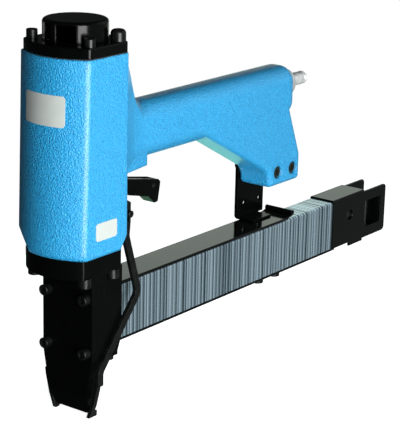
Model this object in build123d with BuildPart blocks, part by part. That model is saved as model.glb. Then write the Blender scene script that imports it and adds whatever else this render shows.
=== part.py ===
from build123d import *
import os
from math import cos, pi, radians, sin, sqrt, tan

# A pneumatic staple tacker in millimetres. X runs from the nose back along the magazine, Y to the tool's
# right and Z up. The origin is the middle of the staple outlet at the tip of the nose, and the cylinder,
# the piston and the driver blade share the vertical axis through it.

# Clearances
slide_gap = 0.3          # between a sliding piece and its guide
pin_gap = 0.05           # radial, a pin or stem in its bearing
screw_gap = 0.05         # radial, a screw in its thread
screw_play = 0.3         # radial, a screw in a through hole
seat_gap = 0.1           # between a moving piece and the seat it rests on

seal_gap = 0.02          # radial, a seal or ring against its bore

# Screws as shares of the thread size
head_chamfer_share = 0.08
key_share = 0.46
key_depth_share = 0.5
tall_head_share = 1.25
round_head_share = 0.45
nut_share = 0.96

# Staples, driver and magazine
staple_crown = 24.8
staple_leg = 44.4
staple_wire = 1.6
staple_bend = 1.4
stick_length = 85.0
stick_count = 4
stick_gap = 0.2
driver_thickness = 1.5
driver_play = 0.15       # driver blade to its channel, each side
driver_lift = 2.8        # blade tip above the crowns at rest
rail_play = 0.3          # rail to the staples, each side
rail_top_play = 0.2
rail_wall = 1.6
base_strip_z = 46.8      # underside of the strip below the staple legs
base_strip_thickness = 1.2
base_strip_half_width = 12.6
base_strip_rear_x = 347.0
leg_tip_gap = 0.8        # staple legs above the base strip

# Nose
nose_half_width = 24.8
front_plate_thickness = 6.7
guide_plate_thickness = 7.0
cheek_rear_x = 27.0
cheek_cut_run = 4.5      # cut at the cheeks' low rear corner
cheek_cut_rise = 11.0
nose_shoulder_z = 46.0   # the nose narrows below this height
nose_waist_z = 13.0
nose_waist_half_width = 19.0
nose_tip_half_width = 14.4
tip_bevel_z = 15.0
tip_thickness = 1.4
flange_z = 115.3
flange_thickness = 15.2
flange_half_width = 29.6
flange_front_x = -21.6
flange_rear_x = 20.0
plate_screw_y = 19.4
plate_screw_low_z = 52.0
plate_screw_high_z = 95.0
plate_screw_size = 5.0
plate_screw_depth = 7.0

# Barrel, cap and what works inside
barrel_half_width = 33.6
barrel_front_x = -25.1   # front corners at the foot; the front bulges out between them
barrel_lean = 4.4        # front corners further back at the top
barrel_rear_x = 21.9
front_bulge = 12.0
rear_bulge = 12.6
barrel_shoulder = 0.8
barrel_corner_radius = 3.0
barrel_foot_radius = 4.5
rear_foot_run = 6.0
rear_foot_rise = 12.0
foot_cut_rise = 17.0     # plane cut off the right front corner of the foot: up the corner,
foot_cut_back = 9.6      # back along the right side
foot_cut_y = 10.0        # and where it ends on the front
bore_radius = 25.0
gasket_thickness = 0.5
cap_half_width = 32.7
cap_front_x = -19.1
cap_rear_x = 21.8
cap_thickness = 8.0
cap_edge = 0.8
dome_radius = 24.4
dome_x = 1.5
dome_height = 16.0
dome_wall = 2.2
dome_rim_radius = 3.0
window_offset_angle = 24.0
window_half_angle = 18.5
window_sill = 0.5
window_height = 13.0
cap_front_screw_x = -14.8
cap_front_screw_y = 27.9
cap_front_screw_size = 5.0
cap_rear_screw_size = 7.0
cap_rear_screw_x = 18.2
cap_rear_screw_y = 26.5
flange_screw_size = 6.0
flange_screw_y = 25.2
flange_screw_front_x = -16.5
flange_screw_rear_x = 15.2
flange_scallop = 8.0
corner_screw_depth = 18.0
sleeve_radius = 22.5
sleeve_bore = 20.0
valve_chamber = 16.0     # top of the sleeve to the barrel's top
sleeve_collar = 8.0
seal_width = 2.6
bumper_height = 20.0
bumper_edge = 2.0
piston_height = 15.0
piston_rest_gap = 0.5
piston_head_room = 2.0   # piston at rest to the top of the sleeve
piston_ring_width = 3.0
piston_dish_radius = 14.0
piston_dish_depth = 3.0
driver_tongue = 9.0
valve_disc_height = 10.5
valve_hub_radius = 6.0
valve_hub_height = 3.0
valve_spring_radius = 10.0
valve_spring_wire = 1.6
valve_spring_turns = 3
cap_pocket_radius = 14.0
cap_pocket_depth = 5.0
exhaust_port_radius = 2.5
exhaust_port_circle = 18.5
exhaust_port_count = 8

# Handle and rear leg
handle_width = 33.6
handle_height = 44.5
handle_z = 187.5         # underside
handle_corner = 14.0
handle_front_x = 70.0
handle_rear_x = 270.5
handle_end_radius = 12.5
leg_slope_front_x = 151.5  # where the slope meets the handle's underside
leg_knee_z = 143.4
leg_knee_radius = 14.0
leg_front_x = 232.7
leg_rear_x = 278.0
leg_z = 130.0
leg_back_knee_z = 153.5
leg_back_top_x = 257.0
leg_back_top_z = 205.0
leg_edge = 4.5
leg_corner = 4.0
leg_screw_size = 6.0
leg_counterbore_radius = 5.6
leg_counterbore_depth = 7.0
leg_nut_thickness = 5.0
leg_screw_inset = 11.0   # first leg screw behind the leg's front
leg_screw_spacing = 22.3
leg_screw_height = 12.3  # above the leg's bottom

# Trigger boss, trigger and safety lever
boss_z = 183.0
boss_rear_x = 68.6
boss_half_width = 14.2    # at its rear; it widens towards the barrel
boss_front_half_width = 21.5
boss_top_z = 206.0
trigger_pin_x = 44.0
trigger_pin_z = 172.5
trigger_pin_radius = 2.0
trigger_hub_radius = 4.6
trigger_half_width = 5.8
trigger_wall = 1.6
trigger_edge = 1.5
ear_radius = 5.4
ear_gap = 0.4
ear_thickness = 4.0
lever_pin_x = 87.5
lever_pin_z = 161.3
lever_pin_radius = 1.75
lever_hub_radius = 3.2
lever_half_width = 3.9
valve_x = 57.0
valve_body_radius = 9.0
valve_body_height = 22.0
stem_radius = 2.4
valve_port_radius = 1.5
stem_tip_drop = 7.0      # stem tip below the boss at rest
stem_head_radius = 5.0
stem_head_height = 3.0
stem_guide = 4.5
stem_spring_radius = 3.8
stem_spring_wire = 0.9
stem_spring_turns = 5

# Air inlet
inlet_z = 214.7
duct_radius = 8.0
bushing_radius = 12.2
bushing_length = 3.5     # behind the handle's end
bushing_seat = 6.0       # sunk into the handle's end
bushing_thread_radius = 9.0
bushing_thread_length = 9.0
bushing_edge = 1.5
plug_collar_radius = 5.8
plug_collar_length = 5.5
plug_neck_radius = 5.2
plug_thread_radius = 5.0
plug_base_radius = 6.2
plug_groove_radius = 5.0
plug_edge = 0.8
plug_tip_radius = 4.6
plug_bore_radius = 3.0

# Contact arm
arm_travel = 5.0
arm_thickness = 3.0
arm_width = 6.0
arm_side_gap = 0.7       # arm to the side of the nose
arm_bend_radius = 8.0
arm_eye_x = 29.0
arm_eye_z = 155.8
arm_screw_size = 3.0
arm_eye_rear_x = 32.2
arm_screw_depth = 9.0
lug_radius = 3.8
lug_depth = 10.0
relief_low_z = 136.0
relief_high_z = 172.0
relief_gap = 0.6
arm_eye_height = 16.0
foot_reach = 3.5         # foot below the outlet at rest
foot_front_x = -3.5
foot_prong_depth = 4.2
foot_prong_width = 3.0
foot_bar_x = 4.1         # bar that joins the prongs behind the tip
foot_bar_depth = 1.6
foot_bar_height = 4.3
arm_bridge_z = 160.0
arm_bridge_height = 4.0
tongue_half_width = 3.5
bridge_rear_y = -14.5
bridge_front_y = -9.0
contact_spring_x = 35.8
contact_spring_y = -16.6
contact_spring_radius = 2.2
contact_spring_wire = 0.8
contact_spring_turns = 6

# Cover, bracket, pusher
cover_gap = 2.0          # crowns to the underside of the cover
cover_sheet = 1.2
cover_half_width = 14.2
cover_lip = 1.0
cover_lip_front_drop = 1.4
cover_lip_rear_drop = 0.8
cover_rear_x = 273.3
cover_curl_radius = 2.2
cover_ramp = 7.0
cover_curl_rise = 1.8
bracket_thickness = 3.2
bracket_foot_thickness = 1.8
bracket_rear_x = 271.0
bracket_top_z = 154.0
bracket_foot_rear_x = 259.0
bracket_foot_y = -0.5
bracket_hole_radius = 2.75
bracket_hole_z = 108.8
base_bolt_size = 6.0
base_bolt_x = 243.0
base_bolt_spacing = 25.0
front_bolt_x = 15.5
washer_thickness = 1.6
bar_height = 8.0
clamp_thickness = 3.2
clamp_bolt_size = 4.0
clamp_bolt_depth = 10.0
clamp_bolt_x = 18.5
clamp_bolt_y = 19.5
pusher_half_width = 12.9
pusher_length = 52.4
pusher_height_over = 1.4  # pusher top above the crowns
pusher_hole_radius = 5.0
pusher_hole_x = 28.4      # behind the pusher's front
pusher_hole_z = 75.3
pusher_lug_length = 23.0
pusher_lug_drop = 3.6
pusher_end_wall = 2.6
pusher_edge = 1.2
cheek_plate = 1.7
cheek_plate_length = 39.0
cheek_plate_drop = 1.9    # top of the cheeks below the pusher's top
cheek_plate_z = 47.0
cheek_plate_corner = 4.0
cheek_window_margin = 3.0  # the window is in the left cheek only
cheek_window_rear = 9.0
cheek_window_low_z = 57.0
cheek_window_high_z = 83.0
roll_radius = 8.2
roll_low_z = 58.0
roll_height = 23.0
roll_pin_radius = 2.5
roll_x_offset = 11.0      # behind the pusher's end wall
band_front_x = 60.0
shelf_thickness = 2.0
band_thickness = 0.3
band_margin = 2.0

# Outlines as points about a pin: the trigger and its channel from the trigger pin, the lever from its own
trigger_points = [
    (-4.0, 3.6), (49.5, -7.2), (52.0, -9.7), (49.0, -25.2), (45.0, -25.7),
    (37.1, -18.9), (13.5, -13.1), (12.0, -10.2), (-4.0, -4.6),
]
trigger_channel = [
    (-12.0, 12.0), (47.0, 12.0), (48.0, -10.7), (45.5, -21.2),
    (37.5, -15.5), (15.5, -9.9), (15.5, -15.7), (-12.0, -15.7),
]
lever_points = [
    (-38.0, 4.9), (-38.0, 12.1), (-7.0, 5.8), (2.6, 2.0),
    (-2.0, -2.6), (-10.0, 4.3), (-34.5, 9.3), (-34.5, 4.9),
]
# Profile of the plug as distance behind the bushing and radius
plug_points = [
    (-8.0, plug_bore_radius), (-8.0, plug_thread_radius), (0.0, plug_thread_radius), (0.0, plug_base_radius),
    (2.5, plug_base_radius), (2.5, plug_neck_radius), (14.0, plug_neck_radius), (15.5, plug_collar_radius),
    (15.5 + plug_collar_length, plug_collar_radius), (22.0, plug_groove_radius), (23.5, plug_groove_radius),
    (24.5, plug_collar_radius), (25.5, plug_collar_radius), (28.0, plug_tip_radius), (28.0, plug_bore_radius),
]
# Inner edge of the foot's prongs as Y and Z, and the middle line of the arm's bar as X and Z
prong_points = [
    (nose_tip_half_width + 1.2, -foot_reach), (nose_waist_half_width + 0.9, 8.0),
    (nose_half_width - 1.6, 22.0), (nose_half_width - 0.8, 27.5),
]
arm_points = [
    (arm_eye_x, arm_bridge_z), (arm_eye_x, 147.0), (28.0, 137.5), (43.1, 90.0),
    (-1.4, 36.2), (-1.4, 25.0),
]

# Worked out from the sizes above
crown_half = staple_crown / 2
channel_half_depth = driver_thickness / 2 + driver_play
channel_half_width = crown_half + 2 * driver_play
base_strip_top_z = base_strip_z + base_strip_thickness
staple_z = base_strip_top_z + leg_tip_gap
staple_top_z = staple_z + staple_leg
rail_half_width = crown_half - staple_wire - rail_play
rail_top_z = staple_top_z - staple_wire - rail_top_play
rail_front_x = channel_half_depth + slide_gap
driver_rest_z = staple_top_z + driver_lift
sleeve_height = bumper_height + piston_rest_gap + driver_rest_z + piston_height + piston_head_room
barrel_height = sleeve_height + valve_chamber
guide_front_x = -channel_half_depth
guide_rear_x = guide_front_x + guide_plate_thickness
plate_front_x = guide_front_x - front_plate_thickness
barrel_z = flange_z + flange_thickness
barrel_top_z = barrel_z + barrel_height
cap_z = barrel_top_z + gasket_thickness
cap_top_z = cap_z + cap_thickness
sleeve_top_z = barrel_z + sleeve_height
bumper_top_z = barrel_z + bumper_height
piston_z = bumper_top_z + piston_rest_gap + driver_rest_z
piston_top_z = piston_z + piston_height
valve_disc_z = sleeve_top_z + seat_gap
valve_disc_top_z = valve_disc_z + valve_disc_height
cap_pocket_z = cap_z + cap_pocket_depth
handle_half_width = handle_width / 2
handle_mid_z = handle_z + handle_height / 2
handle_top_z = handle_z + handle_height
leg_slope = (leg_front_x - leg_slope_front_x) / (handle_z - leg_knee_z)
leg_slope_top_x = leg_slope_front_x - leg_slope * (handle_mid_z - handle_z)
leg_screw_x = leg_front_x + leg_screw_inset
leg_screw_z = leg_z + leg_screw_height
cover_z = staple_top_z + cover_gap
cover_top_z = cover_z + cover_sheet
cover_front_x = cheek_rear_x + slide_gap
arm_inner_y = -nose_half_width - arm_side_gap
arm_outer_y = arm_inner_y - arm_thickness
arm_mid_y = (arm_inner_y + arm_outer_y) / 2
clamp_z = base_strip_z - clamp_thickness
bolt_head_z = base_strip_z - washer_thickness
pusher_front_x = rail_front_x + stick_count * (stick_length + stick_gap) + slide_gap
pusher_rear_x = pusher_front_x + pusher_length
rail_length = pusher_rear_x - pusher_end_wall - slide_gap - rail_front_x
pusher_z = base_strip_top_z + slide_gap
pusher_top_z = staple_top_z + pusher_height_over
roll_x = pusher_rear_x + roll_x_offset
bushing_front_x = handle_rear_x - bushing_seat
bushing_rear_x = handle_rear_x + bushing_length

handle_front_behind = handle_front_x - barrel_rear_x
ear_inner_y = trigger_half_width + ear_gap
ear_outer_y = ear_inner_y + ear_thickness
ear_height = boss_z - trigger_pin_z + 2 * ear_radius
boss_front_x = barrel_rear_x - 0.4
lug_outer_y = arm_inner_y + slide_gap
lug_front_x = barrel_rear_x + 2.0
relief_x = arm_eye_x - arm_width / 2 - 1.0 - relief_gap
corner_hole_depth = corner_screw_depth + 1.0
cap_screw_length = cap_thickness + gasket_thickness + corner_screw_depth
seal_inner_radius = bore_radius - 2.0
seal_heights = (barrel_z + (sleeve_collar - seal_width) / 2, sleeve_top_z - (sleeve_collar + seal_width) / 2)
bumper_slot_depth = channel_half_depth + 1.0
bumper_slot_width = channel_half_width + 0.6
ring_z = piston_z + (piston_height - piston_ring_width) / 2
ring_inner_radius = sleeve_bore - 2.2
driver_half_width = crown_half
stem_head_z = boss_z + stem_guide + seat_gap
stem_chamber = valve_body_height - stem_guide - 1.5
tunnel_half_width = base_strip_half_width + 0.5
tunnel_top_z = staple_top_z + 2.0
flange_head_room = (1.5 * flange_screw_size + 1.0) / 2 + 0.4
plate_screw_length = front_plate_thickness + guide_plate_thickness + plate_screw_depth
window_z = base_strip_top_z - 0.4
window_top_z = staple_top_z + 1.0
rail_height = rail_top_z - base_strip_top_z
rail_inner_half = rail_half_width - rail_wall
base_strip_front_x = guide_rear_x + slide_gap
clamp_front_x = guide_rear_x + slide_gap
clamp_rear_x = cheek_rear_x - cheek_cut_run
cover_ramp_x = cover_rear_x - cover_ramp
cover_curl_z = cover_z + cover_curl_rise + cover_curl_radius
cover_inner_half = cover_half_width - cover_lip
bracket_outer_y = handle_half_width + bracket_thickness
bracket_foot_top_z = cover_top_z + bracket_foot_thickness
leg_head_y = -handle_half_width + leg_counterbore_depth
leg_screw_length = bracket_outer_y - leg_head_y + leg_nut_thickness + 1.0
pusher_inner_half = rail_half_width + slide_gap
pusher_inner_height = rail_top_z + slide_gap - pusher_z
cheek_plate_rear_x = pusher_rear_x + cheek_plate_length
cheek_plate_top_z = pusher_top_z - cheek_plate_drop
cheek_window_front_x = pusher_rear_x + cheek_window_margin
cheek_window_rear_x = cheek_plate_rear_x - cheek_window_rear
shelf_z = roll_low_z - shelf_thickness - 2.0
shelf_length = roll_x_offset + roll_radius
roll_pin_length = roll_low_z + roll_height + 2.0 - shelf_z
band_y = roll_radius + seat_gap + band_thickness / 2
band_z = roll_low_z + roll_height / 2
band_height = roll_height - 2 * band_margin
foot_link_x = foot_front_x + foot_prong_depth / 2
foot_link_outer_y = prong_points[0][0] + foot_prong_width
foot_link_inner_y = foot_link_outer_y - foot_prong_width / 2
arm_bridge_top_z = arm_bridge_z + arm_bridge_height
arm_eye_front_x = arm_eye_x - arm_width / 2 - 1.0
arm_slot_radius = arm_screw_size / 2 + slide_gap
arm_head_y = arm_outer_y - slide_gap
arm_screw_length = lug_outer_y - arm_head_y + arm_screw_depth
bridge_front_x = barrel_rear_x + rear_bulge + 0.7
pad_radius = contact_spring_radius + contact_spring_wire
bridge_rear_x = trigger_pin_x - ear_radius - 0.5
tongue_rear_x = trigger_pin_x + 8.0

# Spots of the fasteners
cap_front_spots = [(cap_front_screw_x, -cap_front_screw_y), (cap_front_screw_x, cap_front_screw_y)]
cap_rear_spots = [(cap_rear_screw_x, -cap_rear_screw_y), (cap_rear_screw_x, cap_rear_screw_y)]
flange_rows = (flange_screw_front_x, flange_screw_rear_x)
flange_spots = [(x, side * flange_screw_y) for x in flange_rows for side in (-1, 1)]
plate_spots = [(side * plate_screw_y, z) for z in (plate_screw_low_z, plate_screw_high_z) for side in (-1, 1)]
clamp_spots = [(clamp_bolt_x, side * clamp_bolt_y) for side in (-1, 1)]
leg_spots = [(leg_screw_x + step * leg_screw_spacing, leg_screw_z) for step in (0, 1)]
base_spots = [(front_bolt_x, 0), (base_bolt_x, 0), (base_bolt_x + base_bolt_spacing, 0)]
rear_bar = (base_bolt_x - 8.0, base_bolt_x + base_bolt_spacing + 8.0)
bar_spans = [(front_bolt_x - 10.0, front_bolt_x + 9.0), rear_bar]

# Sections of the blend from the barrel into the handle: distance behind the barrel's rear corners,
# extra half width over the handle, bottom, top and corner radius
blend_stations = [
    (-0.4, barrel_half_width - 3.0 - handle_half_width, boss_z + 2.0, barrel_top_z - 3.0, 5.0),
    (13.6, 6.5, boss_z + 1.0, barrel_top_z - 10.0, 8.0),
    (23.6, 2.4, boss_z + 2.0, handle_top_z + 21.0, 10.0),
    (35.6, 0.5, handle_z - 1.0, handle_top_z + 4.0, 13.0),
    (handle_front_behind, 0.0, handle_z, handle_top_z, handle_corner),
    (handle_front_behind + 10.0, 0.0, handle_z, handle_top_z, handle_corner),
]

# Alignments: a solid stands on or hangs from its spot, a flat outline starts at its front or low edge
MIN_ALIGN = (Align.CENTER, Align.CENTER, Align.MIN)
MAX_ALIGN = (Align.CENTER, Align.CENTER, Align.MAX)
FRONT_EDGE = (Align.MIN, Align.CENTER)
LOW_EDGE = (Align.CENTER, Align.MIN)


def save(block, name):
    """Label a finished piece and write it as one STEP file."""
    block.part.label = name
    export_step(block.part, f"parts/{name}.step")


def head_radius(size):
    """Radius of a socket head screw's head for a thread size."""
    return (1.5 * size + 1.0) / 2


def socket_screw(size, length, head_share=1.0):
    """A socket head screw that points down, with the underside of its head at the origin."""
    height = size * head_share
    with BuildPart() as screw:
        Cylinder(head_radius(size), height, align=MIN_ALIGN)
        chamfer(screw.edges().group_by(Axis.Z)[-1], size * head_chamfer_share)
        with BuildSketch(Plane.XY.offset(height)):
            RegularPolygon(size * key_share, 6)
        extrude(amount=-size * key_depth_share, mode=Mode.SUBTRACT)
        Cylinder(size / 2, length, align=MAX_ALIGN)
    return screw.part


def round_screw(size, length):
    """A screw with a tall round-topped head, pointing down like the socket screws."""
    height = size * tall_head_share
    with BuildPart() as screw:
        Cylinder(head_radius(size), height, align=MIN_ALIGN)
        fillet(screw.edges().group_by(Axis.Z)[-1], size * round_head_share)
        Cylinder(size / 2, length, align=MAX_ALIGN)
    return screw.part


def hex_nut(size, thickness):
    """A hexagon nut that lies on the XY plane."""
    with BuildPart() as nut:
        with BuildSketch():
            RegularPolygon(size * nut_share, 6)
            Circle(size / 2 + screw_gap, mode=Mode.SUBTRACT)
        extrude(amount=thickness)
    return nut.part


def washer(inner, outer, thickness):
    """A flat washer that lies on the XY plane."""
    with BuildPart() as ring:
        with BuildSketch():
            Circle(outer)
            Circle(inner, mode=Mode.SUBTRACT)
        extrude(amount=thickness)
    return ring.part


def barrel_outline(height, side, front, rear):
    """Plan of the barrel, cap or flange: two flat sides with a bulging front and rear between the corners."""
    with BuildSketch(Plane.XY.offset(height)) as outline:
        with BuildLine():
            Line((front, -side), (rear, -side))
            ThreePointArc((rear, -side), (rear + rear_bulge, 0), (rear, side))
            Line((rear, side), (front, side))
            ThreePointArc((front, side), (front - front_bulge, 0), (front, -side))
        make_face()
    return outline.sketch


def nose_outline():
    """Front view of the nose plates: straight sides that narrow towards the staple outlet."""
    with BuildSketch(Plane.YZ) as outline:
        with BuildLine():
            Polyline(
                (nose_tip_half_width, 0),
                (nose_waist_half_width, nose_waist_z),
                (nose_half_width, nose_shoulder_z),
                (nose_half_width, flange_z),
                (-nose_half_width, flange_z),
                (-nose_half_width, nose_shoulder_z),
                (-nose_waist_half_width, nose_waist_z),
                (-nose_tip_half_width, 0),
                close=True,
            )
        make_face()
    return outline.sketch


def tip_bevel(face_x, tip_x):
    """A wedge that thins a nose plate from one of its faces down to the tip."""
    outside_x = face_x + (face_x - tip_x)
    with BuildPart() as wedge:
        with BuildSketch(Plane.XZ):
            with BuildLine():
                slope = Line((tip_x, 0), (face_x, tip_bevel_z))
                Polyline(slope @ 1, (outside_x, tip_bevel_z), (outside_x, 0), slope @ 0)
            make_face()
        extrude(amount=nose_half_width, both=True)
    return wedge.part


def helix_path(radius, low, high, turns, centre_x, centre_y):
    """A helix as tangent pairs of arcs, one pair to each quarter turn."""
    quarters = 4 * turns
    rise = (high - low) / quarters
    slope = rise / (pi / 2)
    base = Vector(centre_x, centre_y, low)
    with BuildLine() as path:
        for quarter in range(quarters):
            first = pi / 2 * quarter
            last = first + pi / 2
            start = base + Vector(radius * cos(first), radius * sin(first), rise * quarter)
            end = base + Vector(radius * cos(last), radius * sin(last), rise * (quarter + 1))
            leave = Vector(-radius * sin(first), radius * cos(first), slope).normalized()
            arrive = Vector(-radius * sin(last), radius * cos(last), slope).normalized()
            chord = end - start
            along = chord.dot(leave + arrive)
            spread = 2 * (1 - leave.dot(arrive))
            reach = (sqrt(along**2 + spread * chord.dot(chord)) - along) / spread
            middle = (start + leave * reach + end - arrive * reach) * 0.5
            through = (middle - start - leave * reach).normalized()
            TangentArc(start, middle, tangent=leave)
            TangentArc(middle, end, tangent=through)
    return path.line


def coil(name, radius, wire, low, high, turns, centre_x, centre_y):
    """A compression spring between two heights as one wire; prints the least gap between its turns."""
    path = helix_path(radius, low + wire / 2, high - wire / 2, turns, centre_x, centre_y)
    samples = 24 * turns
    half_turn = samples // turns // 2
    points = [path @ (index / samples) for index in range(samples + 1)]
    gaps = [(b - a).length for i, a in enumerate(points) for b in points[i + half_turn:]]
    print(f"{name}: least gap between turns {min(gaps) - wire:.2f} mm")
    with BuildPart() as spring:
        with BuildSketch(Plane(origin=path @ 0, z_dir=path % 0)):
            Circle(wire / 2)
        sweep(path=path)
    return spring


os.makedirs("parts", exist_ok=True)

# Housing: barrel, handle and rear leg in one casting
barrel_foot_plan = barrel_outline(barrel_z, barrel_half_width, barrel_front_x, barrel_rear_x)
barrel_top_plan = barrel_outline(barrel_top_z, barrel_half_width, barrel_front_x + barrel_lean, barrel_rear_x)
cut_high = Vector(barrel_front_x, barrel_half_width, barrel_z + foot_cut_rise)
cut_back = Vector(barrel_front_x + foot_cut_back, barrel_half_width, barrel_z)
cut_front = Vector(barrel_front_x - front_bulge, foot_cut_y, barrel_z)
cut_normal = (cut_back - cut_high).cross(cut_front - cut_high)
with BuildPart() as barrel_blank:
    loft([barrel_foot_plan.face(), barrel_top_plan.face()], ruled=True)
    foot_edges = barrel_blank.edges().group_by(Axis.Z)[0].sort_by(Axis.X)
    fillet(foot_edges[0], barrel_foot_radius)
    foot_edges = barrel_blank.edges().group_by(Axis.Z)[0].sort_by(Axis.X)
    rear_face = barrel_blank.faces().sort_by(Axis.X)[-1]
    chamfer(foot_edges[-1], rear_foot_rise, rear_foot_run, reference=rear_face)
    corners = barrel_blank.edges().filter_by(lambda edge: edge.bounding_box().size.Z > barrel_height / 2)
    fillet(corners, barrel_corner_radius)
    fillet(barrel_blank.edges().group_by(Axis.Z)[-1], barrel_shoulder)
    split(bisect_by=Plane(origin=cut_high, z_dir=cut_normal), keep=Keep.BOTTOM)

with BuildPart() as leg_blank:
    with BuildSketch(Plane.XZ):
        with BuildLine():
            Polyline(
                (leg_slope_top_x, handle_mid_z),
                (leg_front_x, leg_knee_z),
                (leg_front_x, leg_z),
                (leg_rear_x, leg_z),
                (leg_rear_x, leg_back_knee_z),
                (leg_back_top_x, leg_back_top_z),
                (leg_back_top_x, handle_mid_z),
                close=True,
            )
        make_face()
    extrude(amount=handle_half_width, both=True)
    fillet(leg_blank.edges().filter_by(Axis.Y).group_by(Axis.Z)[0], leg_corner)
    knee = leg_blank.edges().filter_by(Axis.Y).filter_by_position(Axis.Z, leg_knee_z - 1, leg_knee_z + 1)
    fillet(knee, leg_knee_radius)
    side_edges = leg_blank.faces().filter_by(Axis.Y).edges()
    fillet(side_edges.filter_by_position(Axis.Z, leg_z - 1, handle_z - 1), leg_edge)

with BuildPart() as ear_blank:
    with BuildSketch(Plane.XZ):
        with Locations((trigger_pin_x, trigger_pin_z)):
            Circle(ear_radius)
            Rectangle(2 * ear_radius, boss_z - trigger_pin_z + leg_edge, align=LOW_EDGE)
            Circle(trigger_pin_radius + pin_gap, mode=Mode.SUBTRACT)
    extrude(amount=ear_outer_y, both=True)
    with BuildSketch(Plane.XZ):
        with Locations((trigger_pin_x, boss_z - ear_height)):
            Rectangle(4 * ear_radius, ear_height, align=LOW_EDGE)
    extrude(amount=ear_inner_y, both=True, mode=Mode.SUBTRACT)

with BuildPart() as housing:
    with BuildSketch(Plane(origin=(handle_front_x, 0, handle_mid_z), x_dir=(0, 1, 0), z_dir=(1, 0, 0))):
        RectangleRounded(handle_width, handle_height, handle_corner)
    extrude(amount=handle_rear_x - handle_front_x)
    fillet(housing.faces().sort_by(Axis.X)[-1].edges(), handle_end_radius)
    add(leg_blank.part)
    for behind, wider, low, high, corner in blend_stations:
        mid_z = (low + high) / 2
        with BuildSketch(Plane(origin=(barrel_rear_x + behind, 0, mid_z), x_dir=(0, 1, 0), z_dir=(1, 0, 0))):
            RectangleRounded(handle_width + 2 * wider, high - low, corner)
    loft()
    add(barrel_blank.part)
    with BuildSketch(Plane.XY.offset(boss_z)):
        with BuildLine():
            Polyline(
                (boss_front_x, -boss_front_half_width),
                (boss_rear_x, -boss_half_width),
                (boss_rear_x, boss_half_width),
                (boss_front_x, boss_front_half_width),
                close=True,
            )
        make_face()
    extrude(amount=boss_top_z - boss_z)
    add(ear_blank.part)
    # Relief behind the barrel's corner for the contact arm, and the lug that guides it
    with BuildSketch(Plane.XY.offset(relief_low_z)):
        with Locations((relief_x, lug_outer_y)):
            Rectangle(barrel_rear_x, barrel_half_width, align=(Align.MIN, Align.MAX))
    extrude(amount=relief_high_z - relief_low_z, mode=Mode.SUBTRACT)
    with BuildSketch(Plane.XZ.offset(-lug_outer_y)):
        with Locations((arm_eye_x, arm_eye_z)):
            Circle(lug_radius)
        with Locations((lug_front_x, arm_eye_z)):
            Rectangle(arm_eye_x - lug_front_x, 2 * lug_radius, align=FRONT_EDGE)
    extrude(amount=-lug_depth)
    # Cylinder bore, air duct, inlet thread and valve seat
    with Locations((0, 0, barrel_z)):
        Cylinder(bore_radius, barrel_height, align=MIN_ALIGN, mode=Mode.SUBTRACT)
    with BuildSketch(Plane.YZ):
        with Locations((0, inlet_z)):
            Circle(duct_radius)
    extrude(amount=handle_rear_x, mode=Mode.SUBTRACT)
    with BuildSketch(Plane.YZ.offset(bushing_front_x - bushing_thread_length - seat_gap)):
        with Locations((0, inlet_z)):
            Circle(bushing_thread_radius + screw_gap)
    extrude(amount=bushing_thread_length + seat_gap, mode=Mode.SUBTRACT)
    with BuildSketch(Plane.YZ.offset(bushing_front_x)):
        with Locations((0, inlet_z)):
            Circle(bushing_radius + screw_gap)
    extrude(amount=bushing_seat, mode=Mode.SUBTRACT)
    with Locations((valve_x, 0, boss_z)):
        Cylinder(valve_body_radius + pin_gap, valve_body_height, align=MIN_ALIGN, mode=Mode.SUBTRACT)
        Cylinder(valve_port_radius, inlet_z - boss_z, align=MIN_ALIGN, mode=Mode.SUBTRACT)
    # Screw holes
    with Locations(*[(x, y, barrel_top_z) for x, y in cap_front_spots]):
        Cylinder(cap_front_screw_size / 2 + screw_gap, corner_hole_depth, align=MAX_ALIGN, mode=Mode.SUBTRACT)
    with Locations(*[(x, y, barrel_top_z) for x, y in cap_rear_spots]):
        Cylinder(cap_rear_screw_size / 2 + screw_gap, corner_hole_depth, align=MAX_ALIGN, mode=Mode.SUBTRACT)
    with Locations(*[(x, y, barrel_z) for x, y in flange_spots]):
        Cylinder(flange_screw_size / 2 + screw_gap, corner_hole_depth, align=MIN_ALIGN, mode=Mode.SUBTRACT)
    with BuildSketch(Plane.XZ.offset(-lug_outer_y)):
        with Locations((arm_eye_x, arm_eye_z)):
            Circle(arm_screw_size / 2 + screw_gap)
    extrude(amount=-arm_screw_depth - seat_gap, mode=Mode.SUBTRACT)
    with BuildSketch(Plane.XZ):
        with Locations(*leg_spots):
            Circle(leg_screw_size / 2 + screw_play)
    extrude(amount=handle_width, both=True, mode=Mode.SUBTRACT)
    with BuildSketch(Plane.XZ.offset(handle_half_width)):
        with Locations(*leg_spots):
            Circle(leg_counterbore_radius)
    extrude(amount=-leg_counterbore_depth, mode=Mode.SUBTRACT)
save(housing, "housing")

# Cap, gasket and exhaust hood
cap_plan = barrel_outline(cap_z, cap_half_width, cap_front_x, cap_rear_x)
with BuildPart() as cap:
    extrude(cap_plan, amount=cap_thickness)
    fillet(cap.edges().filter_by(Axis.Z), barrel_corner_radius)
    chamfer(cap.edges().group_by(Axis.Z)[-1], cap_edge)
    with Locations((0, 0, cap_z)):
        Cylinder(cap_pocket_radius, cap_pocket_depth, align=MIN_ALIGN, mode=Mode.SUBTRACT)
        with PolarLocations(exhaust_port_circle, exhaust_port_count):
            Cylinder(exhaust_port_radius, cap_thickness, align=MIN_ALIGN, mode=Mode.SUBTRACT)
    with Locations(*[(x, y, cap_z) for x, y in cap_front_spots]):
        Cylinder(cap_front_screw_size / 2 + screw_play, cap_thickness, align=MIN_ALIGN, mode=Mode.SUBTRACT)
    with Locations(*[(x, y, cap_z) for x, y in cap_rear_spots]):
        Cylinder(cap_rear_screw_size / 2 + screw_play, cap_thickness, align=MIN_ALIGN, mode=Mode.SUBTRACT)
save(cap, "cap")

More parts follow.
